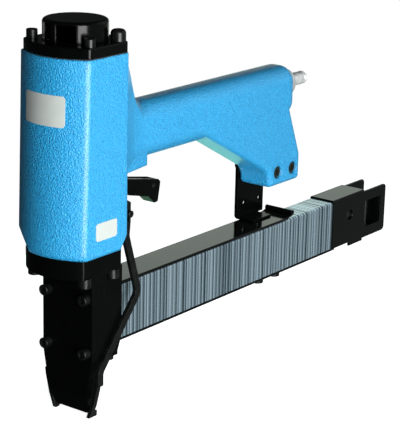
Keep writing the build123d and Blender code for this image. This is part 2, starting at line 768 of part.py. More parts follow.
gasket_plan = barrel_outline(barrel_top_z, cap_half_width, cap_front_x, cap_rear_x)
with BuildPart() as gasket:
    extrude(gasket_plan, amount=gasket_thickness)
    fillet(gasket.edges().filter_by(Axis.Z), barrel_corner_radius)
    with Locations((0, 0, barrel_top_z)):
        Cylinder(bore_radius, gasket_thickness, align=MIN_ALIGN, mode=Mode.SUBTRACT)
    with Locations(*[(x, y, barrel_top_z) for x, y in cap_front_spots]):
        Cylinder(cap_front_screw_size / 2 + screw_play, gasket_thickness, align=MIN_ALIGN, mode=Mode.SUBTRACT)
    with Locations(*[(x, y, barrel_top_z) for x, y in cap_rear_spots]):
        Cylinder(cap_rear_screw_size / 2 + screw_play, gasket_thickness, align=MIN_ALIGN, mode=Mode.SUBTRACT)
save(gasket, "cap_gasket")

with BuildPart() as hood:
    with Locations((dome_x, 0, cap_top_z)):
        Cylinder(dome_radius, dome_height, align=MIN_ALIGN)
    fillet(hood.edges().group_by(Axis.Z)[-1], dome_rim_radius)
    with Locations((dome_x, 0, cap_top_z)):
        Cylinder(dome_radius - dome_wall, dome_height - dome_wall, align=MIN_ALIGN, mode=Mode.SUBTRACT)
    for middle in (180 - window_offset_angle, 180 + window_offset_angle):
        with BuildSketch(Plane.XY.offset(cap_top_z + window_sill)):
            with BuildLine():
                first = radians(middle - window_half_angle)
                last = radians(middle + window_half_angle)
                reach = 2 * dome_radius
                Polyline(
                    (dome_x, 0),
                    (dome_x + reach * cos(first), reach * sin(first)),
                    (dome_x + reach * cos(last), reach * sin(last)),
                    close=True,
                )
            make_face()
        extrude(amount=window_height, mode=Mode.SUBTRACT)
save(hood, "exhaust_hood")

front_cap_screw = socket_screw(cap_front_screw_size, cap_screw_length, tall_head_share)
with BuildPart() as cap_front_screws:
    with Locations(*[(x, y, cap_top_z) for x, y in cap_front_spots]):
        add(front_cap_screw)
save(cap_front_screws, "cap_front_screws")

rear_cap_screw = round_screw(cap_rear_screw_size, cap_screw_length)
with BuildPart() as cap_rear_screws:
    with Locations(*[(x, y, cap_top_z) for x, y in cap_rear_spots]):
        add(rear_cap_screw)
save(cap_rear_screws, "cap_rear_screws")

# Cylinder sleeve, seals, bumper, piston and driver
with BuildPart() as sleeve:
    with Locations((0, 0, barrel_z)):
        Cylinder(sleeve_radius, sleeve_height, align=MIN_ALIGN)
    with Locations((0, 0, barrel_z), (0, 0, sleeve_top_z - sleeve_collar)):
        Cylinder(bore_radius - pin_gap, sleeve_collar, align=MIN_ALIGN)
    for seal_z in seal_heights:
        with BuildSketch(Plane.XY.offset(seal_z - seat_gap)):
            Circle(bore_radius)
            Circle(seal_inner_radius - seat_gap, mode=Mode.SUBTRACT)
        extrude(amount=seal_width + 2 * seat_gap, mode=Mode.SUBTRACT)
    with Locations((0, 0, barrel_z)):
        Cylinder(sleeve_bore, sleeve_height, align=MIN_ALIGN, mode=Mode.SUBTRACT)
save(sleeve, "cylinder_sleeve")

with BuildPart() as sleeve_seals:
    for seal_z in seal_heights:
        with BuildSketch(Plane.XY.offset(seal_z)):
            Circle(bore_radius - seal_gap)
            Circle(seal_inner_radius, mode=Mode.SUBTRACT)
        extrude(amount=seal_width)
save(sleeve_seals, "sleeve_seals")

with BuildPart() as bumper:
    with Locations((0, 0, barrel_z)):
        Cylinder(sleeve_bore - slide_gap, bumper_height, align=MIN_ALIGN)
    fillet(bumper.edges().group_by(Axis.Z)[-1], bumper_edge)
    with BuildSketch(Plane.XY.offset(barrel_z)):
        RectangleRounded(2 * bumper_slot_depth, 2 * bumper_slot_width, bumper_slot_depth / 2)
    extrude(amount=bumper_height, mode=Mode.SUBTRACT)
save(bumper, "bumper")

with BuildPart() as piston:
    with Locations((0, 0, piston_z)):
        Cylinder(sleeve_bore - pin_gap, piston_height, align=MIN_ALIGN)
    with BuildSketch(Plane.XY.offset(ring_z - seat_gap)):
        Circle(sleeve_bore)
        Circle(ring_inner_radius - seat_gap, mode=Mode.SUBTRACT)
    extrude(amount=piston_ring_width + 2 * seat_gap, mode=Mode.SUBTRACT)
    with BuildSketch(Plane.XY.offset(piston_z)):
        Rectangle(driver_thickness + 2 * pin_gap, 2 * driver_half_width + 2 * pin_gap)
    extrude(amount=driver_tongue, mode=Mode.SUBTRACT)
    with Locations((0, 0, piston_top_z)):
        Cylinder(piston_dish_radius, piston_dish_depth, align=MAX_ALIGN, mode=Mode.SUBTRACT)
save(piston, "piston")

with BuildPart() as piston_ring:
    with BuildSketch(Plane.XY.offset(ring_z)):
        Circle(sleeve_bore - seal_gap)
        Circle(ring_inner_radius, mode=Mode.SUBTRACT)
    extrude(amount=piston_ring_width)
save(piston_ring, "piston_ring")

with BuildPart() as driver:
    with Locations((0, 0, driver_rest_z)):
        Box(driver_thickness, 2 * driver_half_width, piston_z + driver_tongue - driver_rest_z, align=MIN_ALIGN)
save(driver, "driver_blade")

# Head valve and its spring below the cap
with BuildPart() as head_valve:
    with Locations((0, 0, valve_disc_z)):
        Cylinder(bore_radius - pin_gap, valve_disc_height, align=MIN_ALIGN)
    fillet(head_valve.edges().group_by(Axis.Z)[-1], cap_edge)
    with Locations((0, 0, valve_disc_top_z)):
        Cylinder(valve_hub_radius, valve_hub_height, align=MIN_ALIGN)
save(head_valve, "head_valve")

valve_spring = coil(
    "head_valve_spring",
    valve_spring_radius,
    valve_spring_wire,
    valve_disc_top_z,
    cap_pocket_z,
    valve_spring_turns,
    0,
    0,
)
save(valve_spring, "head_valve_spring")

# Trigger valve: a body in the boss, with a sprung stem that the safety lever presses
with BuildPart() as valve_body:
    with Locations((valve_x, 0, boss_z)):
        Cylinder(valve_body_radius, valve_body_height, align=MIN_ALIGN)
        Cylinder(stem_radius + pin_gap, stem_guide, align=MIN_ALIGN, mode=Mode.SUBTRACT)
        Cylinder(valve_port_radius, valve_body_height, align=MIN_ALIGN, mode=Mode.SUBTRACT)
    with Locations((valve_x, 0, boss_z + stem_guide)):
        Cylinder(stem_head_radius + slide_gap, stem_chamber, align=MIN_ALIGN, mode=Mode.SUBTRACT)
save(valve_body, "trigger_valve")

with BuildPart() as valve_stem:
    with Locations((valve_x, 0, boss_z - stem_tip_drop)):
        Cylinder(stem_radius, stem_tip_drop + stem_guide + seat_gap, align=MIN_ALIGN)
    fillet(valve_stem.edges().group_by(Axis.Z)[0], stem_radius / 2)
    with Locations((valve_x, 0, stem_head_z)):
        Cylinder(stem_head_radius, stem_head_height, align=MIN_ALIGN)
save(valve_stem, "valve_stem")

stem_spring = coil(
    "stem_spring",
    stem_spring_radius,
    stem_spring_wire,
    stem_head_z + stem_head_height,
    boss_z + stem_guide + stem_chamber,
    stem_spring_turns,
    valve_x,
    0,
)
save(stem_spring, "stem_spring")

# Trigger, safety lever and their pins
with BuildPart() as trigger:
    with BuildSketch(Plane.XZ):
        with BuildLine():
            Polyline(*[(trigger_pin_x + x, trigger_pin_z + z) for x, z in trigger_points], close=True)
        make_face()
        with Locations((trigger_pin_x, trigger_pin_z)):
            Circle(trigger_hub_radius)
    extrude(amount=trigger_half_width, both=True)
    fillet(trigger.edges().filter_by(Axis.Y).sort_by(Axis.X)[-2:], trigger_edge)
    with BuildSketch(Plane.XZ):
        with BuildLine():
            Polyline(*[(trigger_pin_x + x, trigger_pin_z + z) for x, z in trigger_channel], close=True)
        make_face()
    extrude(amount=trigger_half_width - trigger_wall, both=True, mode=Mode.SUBTRACT)
    with BuildSketch(Plane.XZ):
        with Locations((trigger_pin_x, trigger_pin_z)):
            Circle(trigger_pin_radius + pin_gap)
        with Locations((lever_pin_x, lever_pin_z)):
            Circle(lever_pin_radius + pin_gap)
    extrude(amount=trigger_half_width, both=True, mode=Mode.SUBTRACT)
save(trigger, "trigger")

with BuildPart() as lever:
    with BuildSketch(Plane.XZ):
        with BuildLine():
            Polyline(*[(lever_pin_x + x, lever_pin_z + z) for x, z in lever_points], close=True)
        make_face()
        with Locations((lever_pin_x, lever_pin_z)):
            Circle(lever_hub_radius)
            Circle(lever_pin_radius + pin_gap, mode=Mode.SUBTRACT)
    extrude(amount=lever_half_width, both=True)
save(lever, "safety_lever")

with BuildPart() as trigger_pin:
    with BuildSketch(Plane.XZ):
        with Locations((trigger_pin_x, trigger_pin_z)):
            Circle(trigger_pin_radius)
    extrude(amount=ear_outer_y, both=True)
save(trigger_pin, "trigger_pin")

with BuildPart() as lever_pin:
    with BuildSketch(Plane.XZ):
        with Locations((lever_pin_x, lever_pin_z)):
            Circle(lever_pin_radius)
    extrude(amount=trigger_half_width, both=True)
save(lever_pin, "lever_pin")

# Air inlet: bushing and plug nipple
with BuildPart() as bushing:
    with BuildSketch(Plane.YZ.offset(bushing_front_x)):
        with Locations((0, inlet_z)):
            Circle(bushing_radius)
    extrude(amount=bushing_seat + bushing_length)
    fillet(bushing.edges().group_by(Axis.X)[-1], bushing_edge)
    with BuildSketch(Plane.YZ.offset(bushing_front_x - bushing_thread_length)):
        with Locations((0, inlet_z)):
            Circle(bushing_thread_radius)
    extrude(amount=bushing_thread_length)
    with BuildSketch(Plane.YZ.offset(bushing_front_x - bushing_thread_length)):
        with Locations((0, inlet_z)):
            Circle(plug_thread_radius + screw_gap)
    extrude(amount=bushing_thread_length + bushing_seat + bushing_length, mode=Mode.SUBTRACT)
save(bushing, "inlet_bushing")

with BuildPart() as plug:
    with BuildSketch(Plane.XZ):
        with BuildLine():
            Polyline(*[(bushing_rear_x + x, inlet_z + r) for x, r in plug_points], close=True)
        make_face()
    revolve(axis=Axis((0, 0, inlet_z), (1, 0, 0)))
    fillet(plug.edges().group_by(Axis.X)[-1].sort_by(SortBy.RADIUS)[-1], plug_edge)
save(plug, "plug_nipple")

# Nose: frame under the barrel, guide plate and front plate around the driver channel
flange_plan = barrel_outline(flange_z, flange_half_width, flange_front_x, flange_rear_x)
with BuildPart() as nose_frame:
    extrude(flange_plan, amount=flange_thickness)
    fillet(nose_frame.edges().filter_by(Axis.Z), barrel_corner_radius)
    with BuildSketch(Plane.XY.offset(base_strip_z)):
        with Locations(((guide_rear_x + cheek_rear_x) / 2, 0)):
            Rectangle(cheek_rear_x - guide_rear_x, 2 * nose_half_width)
            Rectangle(cheek_rear_x - guide_rear_x, 2 * tunnel_half_width, mode=Mode.SUBTRACT)
    extrude(amount=flange_z - base_strip_z)
    with BuildSketch(Plane.XY.offset(tunnel_top_z)):
        with Locations(((guide_rear_x + cheek_rear_x) / 2, 0)):
            Rectangle(cheek_rear_x - guide_rear_x, 2 * nose_half_width)
    extrude(amount=flange_z - tunnel_top_z)
    with BuildSketch(Plane.XY.offset(flange_z)):
        Rectangle(2 * channel_half_depth, 2 * channel_half_width)
    extrude(amount=flange_thickness, mode=Mode.SUBTRACT)
    with Locations(*[(x, y, flange_z) for x, y in flange_spots]):
        Cylinder(flange_screw_size / 2 + screw_play, flange_thickness, align=MIN_ALIGN, mode=Mode.SUBTRACT)
        Cylinder(flange_head_room, flange_scallop, align=MAX_ALIGN, mode=Mode.SUBTRACT)
    with BuildSketch(Plane.XZ):
        with BuildLine():
            Polyline(
                (cheek_rear_x, base_strip_z),
                (cheek_rear_x, base_strip_z + cheek_cut_rise),
                (clamp_rear_x, base_strip_z),
                close=True,
            )
        make_face()
    extrude(amount=nose_half_width, both=True, mode=Mode.SUBTRACT)
    with BuildSketch(Plane.YZ.offset(guide_rear_x)):
        with Locations(*plate_spots):
            Circle(plate_screw_size / 2 + screw_gap)
    extrude(amount=plate_screw_depth + seat_gap, mode=Mode.SUBTRACT)
    with Locations(*[(x, y, base_strip_z) for x, y in clamp_spots]):
        Cylinder(
            clamp_bolt_size / 2 + screw_gap,
            clamp_bolt_depth + seat_gap,
            align=MIN_ALIGN,
            mode=Mode.SUBTRACT,
        )
save(nose_frame, "nose_frame")

plate_outline = nose_outline()
rear_bevel = tip_bevel(guide_rear_x, channel_half_depth + tip_thickness)
with BuildPart() as guide_plate:
    extrude(plate_outline, amount=guide_rear_x)
    extrude(plate_outline, amount=guide_front_x)
    add(rear_bevel, mode=Mode.SUBTRACT)
    with BuildSketch(Plane.XY):
        with Locations((guide_front_x, 0)):
            Rectangle(2 * channel_half_depth, 2 * channel_half_width, align=FRONT_EDGE)
    extrude(amount=flange_z, mode=Mode.SUBTRACT)
    with BuildSketch(Plane.YZ):
        with Locations((0, window_z)):
            Rectangle(2 * channel_half_width, window_top_z - window_z, align=LOW_EDGE)
    extrude(amount=guide_rear_x, mode=Mode.SUBTRACT)
    with BuildSketch(Plane.YZ.offset(guide_front_x)):
        with Locations(*plate_spots):
            Circle(plate_screw_size / 2 + screw_play)
    extrude(amount=guide_plate_thickness, mode=Mode.SUBTRACT)
save(guide_plate, "guide_plate")

front_bevel = tip_bevel(plate_front_x, guide_front_x - tip_thickness)
with BuildPart() as front_plate:
    extrude(plate_outline, amount=plate_front_x)
    add(front_bevel, mode=Mode.SUBTRACT)
    with BuildSketch(Plane.YZ.offset(guide_front_x)):
        with Locations((0, flange_z / 2)):
            Rectangle(2 * nose_half_width, flange_z)
    extrude(amount=-guide_front_x, mode=Mode.SUBTRACT)
    with BuildSketch(Plane.YZ.offset(plate_front_x)):
        with Locations(*plate_spots):
            Circle(plate_screw_size / 2 + screw_play)
    extrude(amount=front_plate_thickness, mode=Mode.SUBTRACT)
save(front_plate, "front_plate")

plate_screw = socket_screw(plate_screw_size, plate_screw_length, tall_head_share)
with BuildPart() as plate_screws:
    with Locations(*[Plane((plate_front_x, y, z), x_dir=(0, 1, 0), z_dir=(-1, 0, 0)) for y, z in plate_spots]):
        add(plate_screw)
save(plate_screws, "plate_screws")

flange_screw = socket_screw(flange_screw_size, flange_thickness + corner_screw_depth, tall_head_share)
with BuildPart() as flange_screws:
    with Locations(*[Plane((x, y, flange_z), z_dir=(0, 0, -1)) for x, y in flange_spots]):
        add(flange_screw)
save(flange_screws, "flange_screws")

# Magazine: rail, base strip, bars, clamp plate, bolts, cover and bracket
with BuildPart() as rail:
    with BuildSketch(Plane.YZ.offset(rail_front_x)):
        with Locations((0, base_strip_top_z)):
            Rectangle(2 * rail_half_width, rail_height, align=LOW_EDGE)
            Rectangle(2 * rail_inner_half, rail_height - rail_wall, align=LOW_EDGE, mode=Mode.SUBTRACT)
    extrude(amount=rail_length)
save(rail, "magazine_rail")

with BuildPart() as base_strip:
    with BuildSketch(Plane.XY.offset(base_strip_z)):
        with Locations((base_strip_front_x, 0)):
            Rectangle(
                base_strip_rear_x - base_strip_front_x,
                2 * base_strip_half_width,
                align=FRONT_EDGE,
            )
        with Locations(*base_spots):
            Circle(base_bolt_size / 2 + screw_play, mode=Mode.SUBTRACT)
    extrude(amount=base_strip_thickness)
save(base_strip, "base_strip")

with BuildPart() as rail_bars:
    for low_x, high_x in bar_spans:
        with BuildSketch(Plane.XY.offset(base_strip_top_z)):
            with Locations((low_x, 0)):
                Rectangle(high_x - low_x, 2 * rail_inner_half - 2 * pin_gap, align=FRONT_EDGE)
            with Locations(*[(x, y) for x, y in base_spots if low_x < x < high_x]):
                Circle(base_bolt_size / 2 + screw_gap, mode=Mode.SUBTRACT)
        extrude(amount=bar_height)
save(rail_bars, "rail_bars")

with BuildPart() as clamp:
    with BuildSketch(Plane.XY.offset(clamp_z)):
        with Locations((clamp_front_x, 0)):
            Rectangle(clamp_rear_x - clamp_front_x, 2 * nose_half_width, align=FRONT_EDGE)
        with Locations(*clamp_spots):
            Circle(clamp_bolt_size / 2 + screw_play, mode=Mode.SUBTRACT)
        with Locations((front_bolt_x, 0)):
            Circle(base_bolt_size / 2 + screw_play, mode=Mode.SUBTRACT)
    extrude(amount=clamp_thickness)
save(clamp, "rail_clamp")

clamp_bolt = socket_screw(clamp_bolt_size, clamp_thickness + clamp_bolt_depth)
with BuildPart() as clamp_bolts:
    with Locations(*[Plane((x, y, clamp_z), z_dir=(0, 0, -1)) for x, y in clamp_spots]):
        add(clamp_bolt)
save(clamp_bolts, "clamp_bolts")

rear_bolt = socket_screw(base_bolt_size, washer_thickness + base_strip_thickness + bar_height)
front_bolt = socket_screw(base_bolt_size, clamp_thickness + base_strip_thickness + bar_height)
with BuildPart() as base_bolts:
    with Locations(*[Plane((x, y, bolt_head_z), z_dir=(0, 0, -1)) for x, y in base_spots[1:]]):
        add(rear_bolt)
    with Locations(Plane((front_bolt_x, 0, clamp_z), z_dir=(0, 0, -1))):
        add(front_bolt)
save(base_bolts, "base_bolts")

base_washer = washer(base_bolt_size / 2 + screw_play, base_bolt_size, washer_thickness)
with BuildPart() as base_washers:
    with Locations(*[(x, y, bolt_head_z) for x, y in base_spots[1:]]):
        add(base_washer)
save(base_washers, "base_washers")

with BuildPart() as cover:
    with BuildSketch(Plane.XZ):
        with BuildLine():
            Polyline(
                (cover_front_x, cover_z),
                (cover_ramp_x, cover_z),
                (cover_rear_x, cover_z + cover_curl_rise),
                (cover_rear_x, cover_top_z + cover_curl_rise),
                (cover_ramp_x, cover_top_z),
                (cover_front_x, cover_top_z),
                close=True,
            )
        make_face()
        with Locations((cover_rear_x, cover_curl_z)):
            Circle(cover_curl_radius)
            Circle(cover_curl_radius - cover_sheet, mode=Mode.SUBTRACT)
    extrude(amount=cover_half_width, both=True)
    with BuildSketch(Plane.XZ):
        with BuildLine():
            Polyline(
                (cover_front_x, cover_top_z),
                (cover_front_x, cover_z - cover_lip_front_drop),
                (cover_ramp_x, cover_z - cover_lip_rear_drop),
                (cover_ramp_x, cover_top_z),
                close=True,
            )
        make_face()
    extrude(amount=cover_half_width, both=True)
    with BuildSketch(Plane.YZ.offset(cover_front_x)):
        with Locations((0, cover_z)):
            Rectangle(2 * cover_inner_half, cover_gap, align=(Align.CENTER, Align.MAX))
    extrude(amount=cover_ramp_x - cover_front_x, mode=Mode.SUBTRACT)
save(cover, "magazine_cover")

with BuildPart() as bracket:
    with BuildSketch(Plane.YZ.offset(leg_front_x)):
        with BuildLine():
            Polyline(
                (bracket_foot_y, cover_top_z),
                (bracket_outer_y, cover_top_z),
                (bracket_outer_y, bracket_top_z),
                (handle_half_width, bracket_top_z),
                (handle_half_width, bracket_foot_top_z),
                (bracket_foot_y, bracket_foot_top_z),
                close=True,
            )
        make_face()
    extrude(amount=bracket_rear_x - leg_front_x)
    fillet(bracket.edges().filter_by(Axis.X).group_by(Axis.Z)[0].sort_by(Axis.Y)[-1], bracket_thickness)
    with BuildSketch(Plane.XY.offset(cover_top_z)):
        with Locations((bracket_foot_rear_x, 0)):
            Rectangle(bracket_rear_x - bracket_foot_rear_x, 2 * handle_half_width, align=FRONT_EDGE)
    extrude(amount=bracket_foot_thickness, mode=Mode.SUBTRACT)
    with BuildSketch(Plane.XZ.offset(-bracket_outer_y)):
        with Locations(*leg_spots):
            Circle(leg_screw_size / 2 + screw_play)
        with Locations(*[(x, bracket_hole_z) for x, z in leg_spots]):
            Circle(bracket_hole_radius)
    extrude(amount=bracket_thickness, mode=Mode.SUBTRACT)
save(bracket, "magazine_bracket")

leg_screw = socket_screw(leg_screw_size, leg_screw_length)
with BuildPart() as leg_screws:
    with Locations(*[Plane((x, leg_head_y, z), x_dir=(1, 0, 0), z_dir=(0, -1, 0)) for x, z in leg_spots]):
        add(leg_screw)
save(leg_screws, "leg_screws")

leg_nut = hex_nut(leg_screw_size, leg_nut_thickness)
with BuildPart() as leg_nuts:
    with Locations(*[Plane((x, bracket_outer_y, z), x_dir=(1, 0, 0), z_dir=(0, 1, 0)) for x, z in leg_spots]):
        add(leg_nut)
save(leg_nuts, "leg_nuts")

# Staples on the rail, as plain glued sticks
with BuildPart() as staples:
    for stick in range(stick_count):
        with BuildSketch(Plane.YZ.offset(rail_front_x + stick * (stick_length + stick_gap))):
            with Locations((0, staple_z)):
                Rectangle(staple_crown, staple_leg, align=LOW_EDGE)
                Rectangle(
                    staple_crown - 2 * staple_wire,
                    staple_leg - staple_wire,
                    align=LOW_EDGE,
                    mode=Mode.SUBTRACT,
                )
        extrude(amount=stick_length)
    fillet(staples.edges().filter_by(Axis.X).group_by(Axis.Z)[-1], staple_bend)
save(staples, "staple_sticks")

# Pusher with its rear cheeks, spring roll, pin and feed band
with BuildPart() as cheek_blank:
    with BuildSketch(Plane.XZ):
        with Locations((cheek_plate_rear_x, (cheek_plate_z + cheek_plate_top_z) / 2)):
            RectangleRounded(
                cheek_plate_length + 2 * cheek_plate_corner,
                cheek_plate_top_z - cheek_plate_z,
                cheek_plate_corner,
                align=(Align.MAX, Align.CENTER),
            )
    extrude(amount=pusher_half_width, both=True)
    with BuildSketch(Plane.XZ):
        with Locations((cheek_window_front_x, (cheek_window_low_z + cheek_window_high_z) / 2)):
            RectangleRounded(
                cheek_window_rear_x - cheek_window_front_x,
                cheek_window_high_z - cheek_window_low_z,
                cheek_plate_corner / 2,
                align=FRONT_EDGE,
            )
    extrude(amount=pusher_half_width, mode=Mode.SUBTRACT)
    with BuildSketch(Plane.XZ):
        with Locations((pusher_rear_x - pusher_lug_length, pusher_z - pusher_lug_drop)):
            Rectangle(pusher_lug_length, pusher_lug_drop + pusher_edge, align=(Align.MIN, Align.MIN))
    extrude(amount=pusher_half_width, both=True)
    with BuildSketch(Plane.XY.offset(pusher_z - pusher_lug_drop)):
        with Locations((pusher_front_x, 0)):
            Rectangle(
                pusher_length + cheek_plate_length,
                2 * (pusher_half_width - cheek_plate),
                align=FRONT_EDGE,
            )
    extrude(amount=pusher_top_z - pusher_z + pusher_lug_drop, mode=Mode.SUBTRACT)

with BuildPart() as pusher:
    with BuildSketch(Plane.YZ.offset(pusher_front_x)):
        with Locations((0, pusher_z)):
            Rectangle(2 * pusher_half_width, pusher_top_z - pusher_z, align=LOW_EDGE)
    extrude(amount=pusher_length)
    fillet(pusher.edges().filter_by(Axis.X).group_by(Axis.Z)[-1], pusher_edge)
    with BuildSketch(Plane.YZ.offset(pusher_front_x)):
        with Locations((0, pusher_z)):
            Rectangle(2 * pusher_inner_half, pusher_inner_height, align=LOW_EDGE)
    extrude(amount=pusher_length - pusher_end_wall, mode=Mode.SUBTRACT)
    add(cheek_blank.part)
    with BuildSketch(Plane.XY.offset(shelf_z)):
        with Locations((pusher_rear_x, 0)):
            Rectangle(shelf_length, 2 * pusher_half_width - cheek_plate, align=FRONT_EDGE)
        with Locations((roll_x, 0)):
            Circle(roll_pin_radius, mode=Mode.SUBTRACT)
    extrude(amount=shelf_thickness)
    with BuildSketch(Plane.XZ.offset(pusher_half_width)):
        with Locations((pusher_front_x + pusher_hole_x, pusher_hole_z)):
            Circle(pusher_hole_radius)
    extrude(amount=-(pusher_half_width - rail_half_width), mode=Mode.SUBTRACT)
    with BuildSketch(Plane.YZ.offset(pusher_rear_x - pusher_end_wall)):
        with Locations((band_y, band_z)):
            Rectangle(
                band_thickness + 2 * slide_gap,
                band_height + 2 * slide_gap,
                align=(Align.CENTER, Align.CENTER),
            )
    extrude(amount=pusher_end_wall, mode=Mode.SUBTRACT)
save(pusher, "pusher")

with BuildPart() as roll_pin:
    with Locations((roll_x, 0, shelf_z)):
        Cylinder(roll_pin_radius, roll_pin_length, align=MIN_ALIGN)
save(roll_pin, "roll_pin")

with BuildPart() as roll:
    with BuildSketch(Plane.XY.offset(roll_low_z)):
        with Locations((roll_x, 0)):
            Circle(roll_radius)
            Circle(roll_pin_radius + pin_gap, mode=Mode.SUBTRACT)
    extrude(amount=roll_height)
save(roll, "spring_roll")

with BuildPart() as band:
    with BuildSketch(Plane.YZ.offset(band_front_x)):
        with Locations((band_y, band_z)):
            Rectangle(band_thickness, band_height)
    extrude(amount=roll_x - band_front_x)
save(band, "feed_band")

# Contact arm: foot around the nose tip and a bent bar up to the trigger
with BuildPart() as arm:
    with BuildLine():
        route = FilletPolyline(*[(x, arm_mid_y, z) for x, z in arm_points], radius=arm_bend_radius)
    with BuildSketch(Plane(origin=route @ 0, x_dir=(0, 1, 0), z_dir=route % 0)):
        Rectangle(arm_thickness, arm_width)
    sweep(path=route)
    for side in (-1, 1):
        with BuildSketch(Plane.YZ.offset(foot_front_x)):
            with BuildLine():
                inner = [(side * y, z) for y, z in prong_points]
                outer = [(side * (y + foot_prong_width), z) for y, z in reversed(prong_points)]
                Polyline(*inner, *outer, close=True)
            make_face()
        extrude(amount=foot_prong_depth)
    with BuildSketch(Plane.XY.offset(-foot_reach)):
        with Locations((foot_link_x, 0)):
            Rectangle(foot_bar_x + foot_bar_depth - foot_link_x, 2 * foot_link_outer_y, align=FRONT_EDGE)
            Rectangle(foot_bar_x - foot_link_x, 2 * foot_link_inner_y, align=FRONT_EDGE, mode=Mode.SUBTRACT)
    extrude(amount=foot_bar_height)
    with BuildSketch(Plane.XZ.offset(-arm_inner_y)):
        with Locations((arm_eye_front_x, arm_bridge_top_z)):
            Rectangle(arm_eye_rear_x - arm_eye_front_x, arm_eye_height, align=(Align.MIN, Align.MAX))
    extrude(amount=arm_thickness)
    with BuildSketch(Plane.XZ.offset(-arm_inner_y)):
        with Locations((arm_eye_x, arm_eye_z - arm_travel / 2)):
            SlotCenterToCenter(arm_travel, 2 * arm_slot_radius, rotation=90)
    extrude(amount=arm_thickness, mode=Mode.SUBTRACT)
    with BuildSketch(Plane.XY.offset(arm_bridge_z)):
        with BuildLine():
            Polyline(
                (arm_eye_x, arm_outer_y),
                (arm_eye_rear_x, arm_outer_y),
                (bridge_rear_x, bridge_rear_y),
                (bridge_rear_x, -tongue_half_width),
                (tongue_rear_x, -tongue_half_width),
                (tongue_rear_x, tongue_half_width),
                (bridge_front_x, tongue_half_width),
                (bridge_front_x, bridge_front_y),
                (arm_eye_x, arm_inner_y),
                close=True,
            )
        make_face()
        with Locations((contact_spring_x, contact_spring_y)):
            Circle(pad_radius)
    extrude(amount=arm_bridge_height)
save(arm, "contact_arm")

arm_screw_part = socket_screw(arm_screw_size, arm_screw_length)
with BuildPart() as arm_screw:
    with Locations(Plane((arm_eye_x, arm_head_y, arm_eye_z), x_dir=(1, 0, 0), z_dir=(0, -1, 0))):
        add(arm_screw_part)
save(arm_screw, "arm_screw")

contact_spring = coil(
    "contact_spring",
    contact_spring_radius,
    contact_spring_wire,
    arm_bridge_top_z,
    boss_z,
    contact_spring_turns,
    contact_spring_x,
    contact_spring_y,
)
save(contact_spring, "contact_spring")
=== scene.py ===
import math

import bmesh
import bpy
from mathutils import Matrix, Vector


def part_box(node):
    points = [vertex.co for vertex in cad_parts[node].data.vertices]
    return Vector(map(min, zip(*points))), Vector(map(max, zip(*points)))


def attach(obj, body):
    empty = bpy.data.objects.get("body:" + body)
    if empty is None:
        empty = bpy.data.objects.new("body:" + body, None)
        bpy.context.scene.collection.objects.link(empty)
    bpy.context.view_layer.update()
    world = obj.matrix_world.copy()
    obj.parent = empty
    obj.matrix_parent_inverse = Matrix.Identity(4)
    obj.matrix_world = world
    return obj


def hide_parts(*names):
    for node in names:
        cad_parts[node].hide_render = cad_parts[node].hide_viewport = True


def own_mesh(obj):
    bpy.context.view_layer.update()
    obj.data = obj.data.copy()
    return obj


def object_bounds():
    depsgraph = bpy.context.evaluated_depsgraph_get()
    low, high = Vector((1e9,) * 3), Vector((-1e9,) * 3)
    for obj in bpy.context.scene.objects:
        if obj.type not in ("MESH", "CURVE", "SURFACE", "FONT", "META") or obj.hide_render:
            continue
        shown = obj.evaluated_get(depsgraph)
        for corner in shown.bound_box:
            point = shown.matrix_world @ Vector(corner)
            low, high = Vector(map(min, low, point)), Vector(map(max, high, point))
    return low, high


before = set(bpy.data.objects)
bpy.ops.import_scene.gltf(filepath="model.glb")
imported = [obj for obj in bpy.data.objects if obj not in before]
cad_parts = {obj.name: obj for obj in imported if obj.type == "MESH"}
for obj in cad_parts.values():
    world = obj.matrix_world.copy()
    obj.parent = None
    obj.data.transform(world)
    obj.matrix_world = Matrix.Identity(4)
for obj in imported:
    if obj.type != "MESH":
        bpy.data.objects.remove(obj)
cad_low, cad_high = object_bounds()

bl_info = {
    "name": "Staple tacker finishes",
    "version": (1, 0, 0),
    "blender": (4, 5, 0),
    "location": "3D View > Sidebar > Tacker",
    "description": "Paints a pneumatic staple tacker, loads its magazine with wire staples and sets up a studio",
    "category": "Object",
}

BLACK_PAINTED = (
    "nose_frame", "guide_plate", "front_plate", "magazine_bracket", "rail_clamp", "trigger",
)
GLOSS_BLACK = ("magazine_cover", "base_strip")
SMOOTH_BLACK = ("pusher",)
CAST_BLACK = ("cap", "exhaust_hood")
BLACK_STEEL = (
    "contact_arm", "safety_lever", "cap_front_screws", "cap_rear_screws", "plate_screws", "flange_screws",
    "clamp_bolts", "base_bolts", "arm_screw", "trigger_pin", "lever_pin", "leg_nuts",
)
OILED_STEEL = ("leg_screws",)
BRIGHT_STEEL = ("plug_nipple", "base_washers", "roll_pin", "driver_blade")
TURNED_ALUMINIUM = ("inlet_bushing", "cylinder_sleeve", "piston", "head_valve")
ROLLED_STEEL = ("magazine_rail", "rail_bars")
SPRING_STEEL = ("spring_roll", "feed_band", "head_valve_spring", "stem_spring", "contact_spring")
TURNED_BRASS = ("trigger_valve", "valve_stem")
RUBBER = ("bumper", "sleeve_seals", "cap_gasket")
# Each coil spring with its joint, the height of its fixed end and how far the joint presses it
SPRINGS = {
    "head_valve_spring": ("head_valve_lift", 0.2855, 0.004),
    "stem_spring": ("trigger_pull", 0.2035, 0.0022),
    "contact_spring": ("contact_arm_lift", 0.183, 0.005),
}

# Each plate as its reach across the barrel and up it
FRONT_PLATE = ((-0.0185, 0.0195), (0.2305, 0.2535))
SIDE_PLATE = ((-0.0138, 0.0098), (0.1442, 0.1578))
PLATE_COLUMNS, PLATE_ROWS = 24, 12
# The barrel's front: half width, bulge, place of its edges at the foot and how far they lean back at the top
FRONT_HALF_WIDTH, FRONT_BULGE, FRONT_EDGE, FRONT_LEAN = 0.0336, 0.012, -0.0251, 0.0044
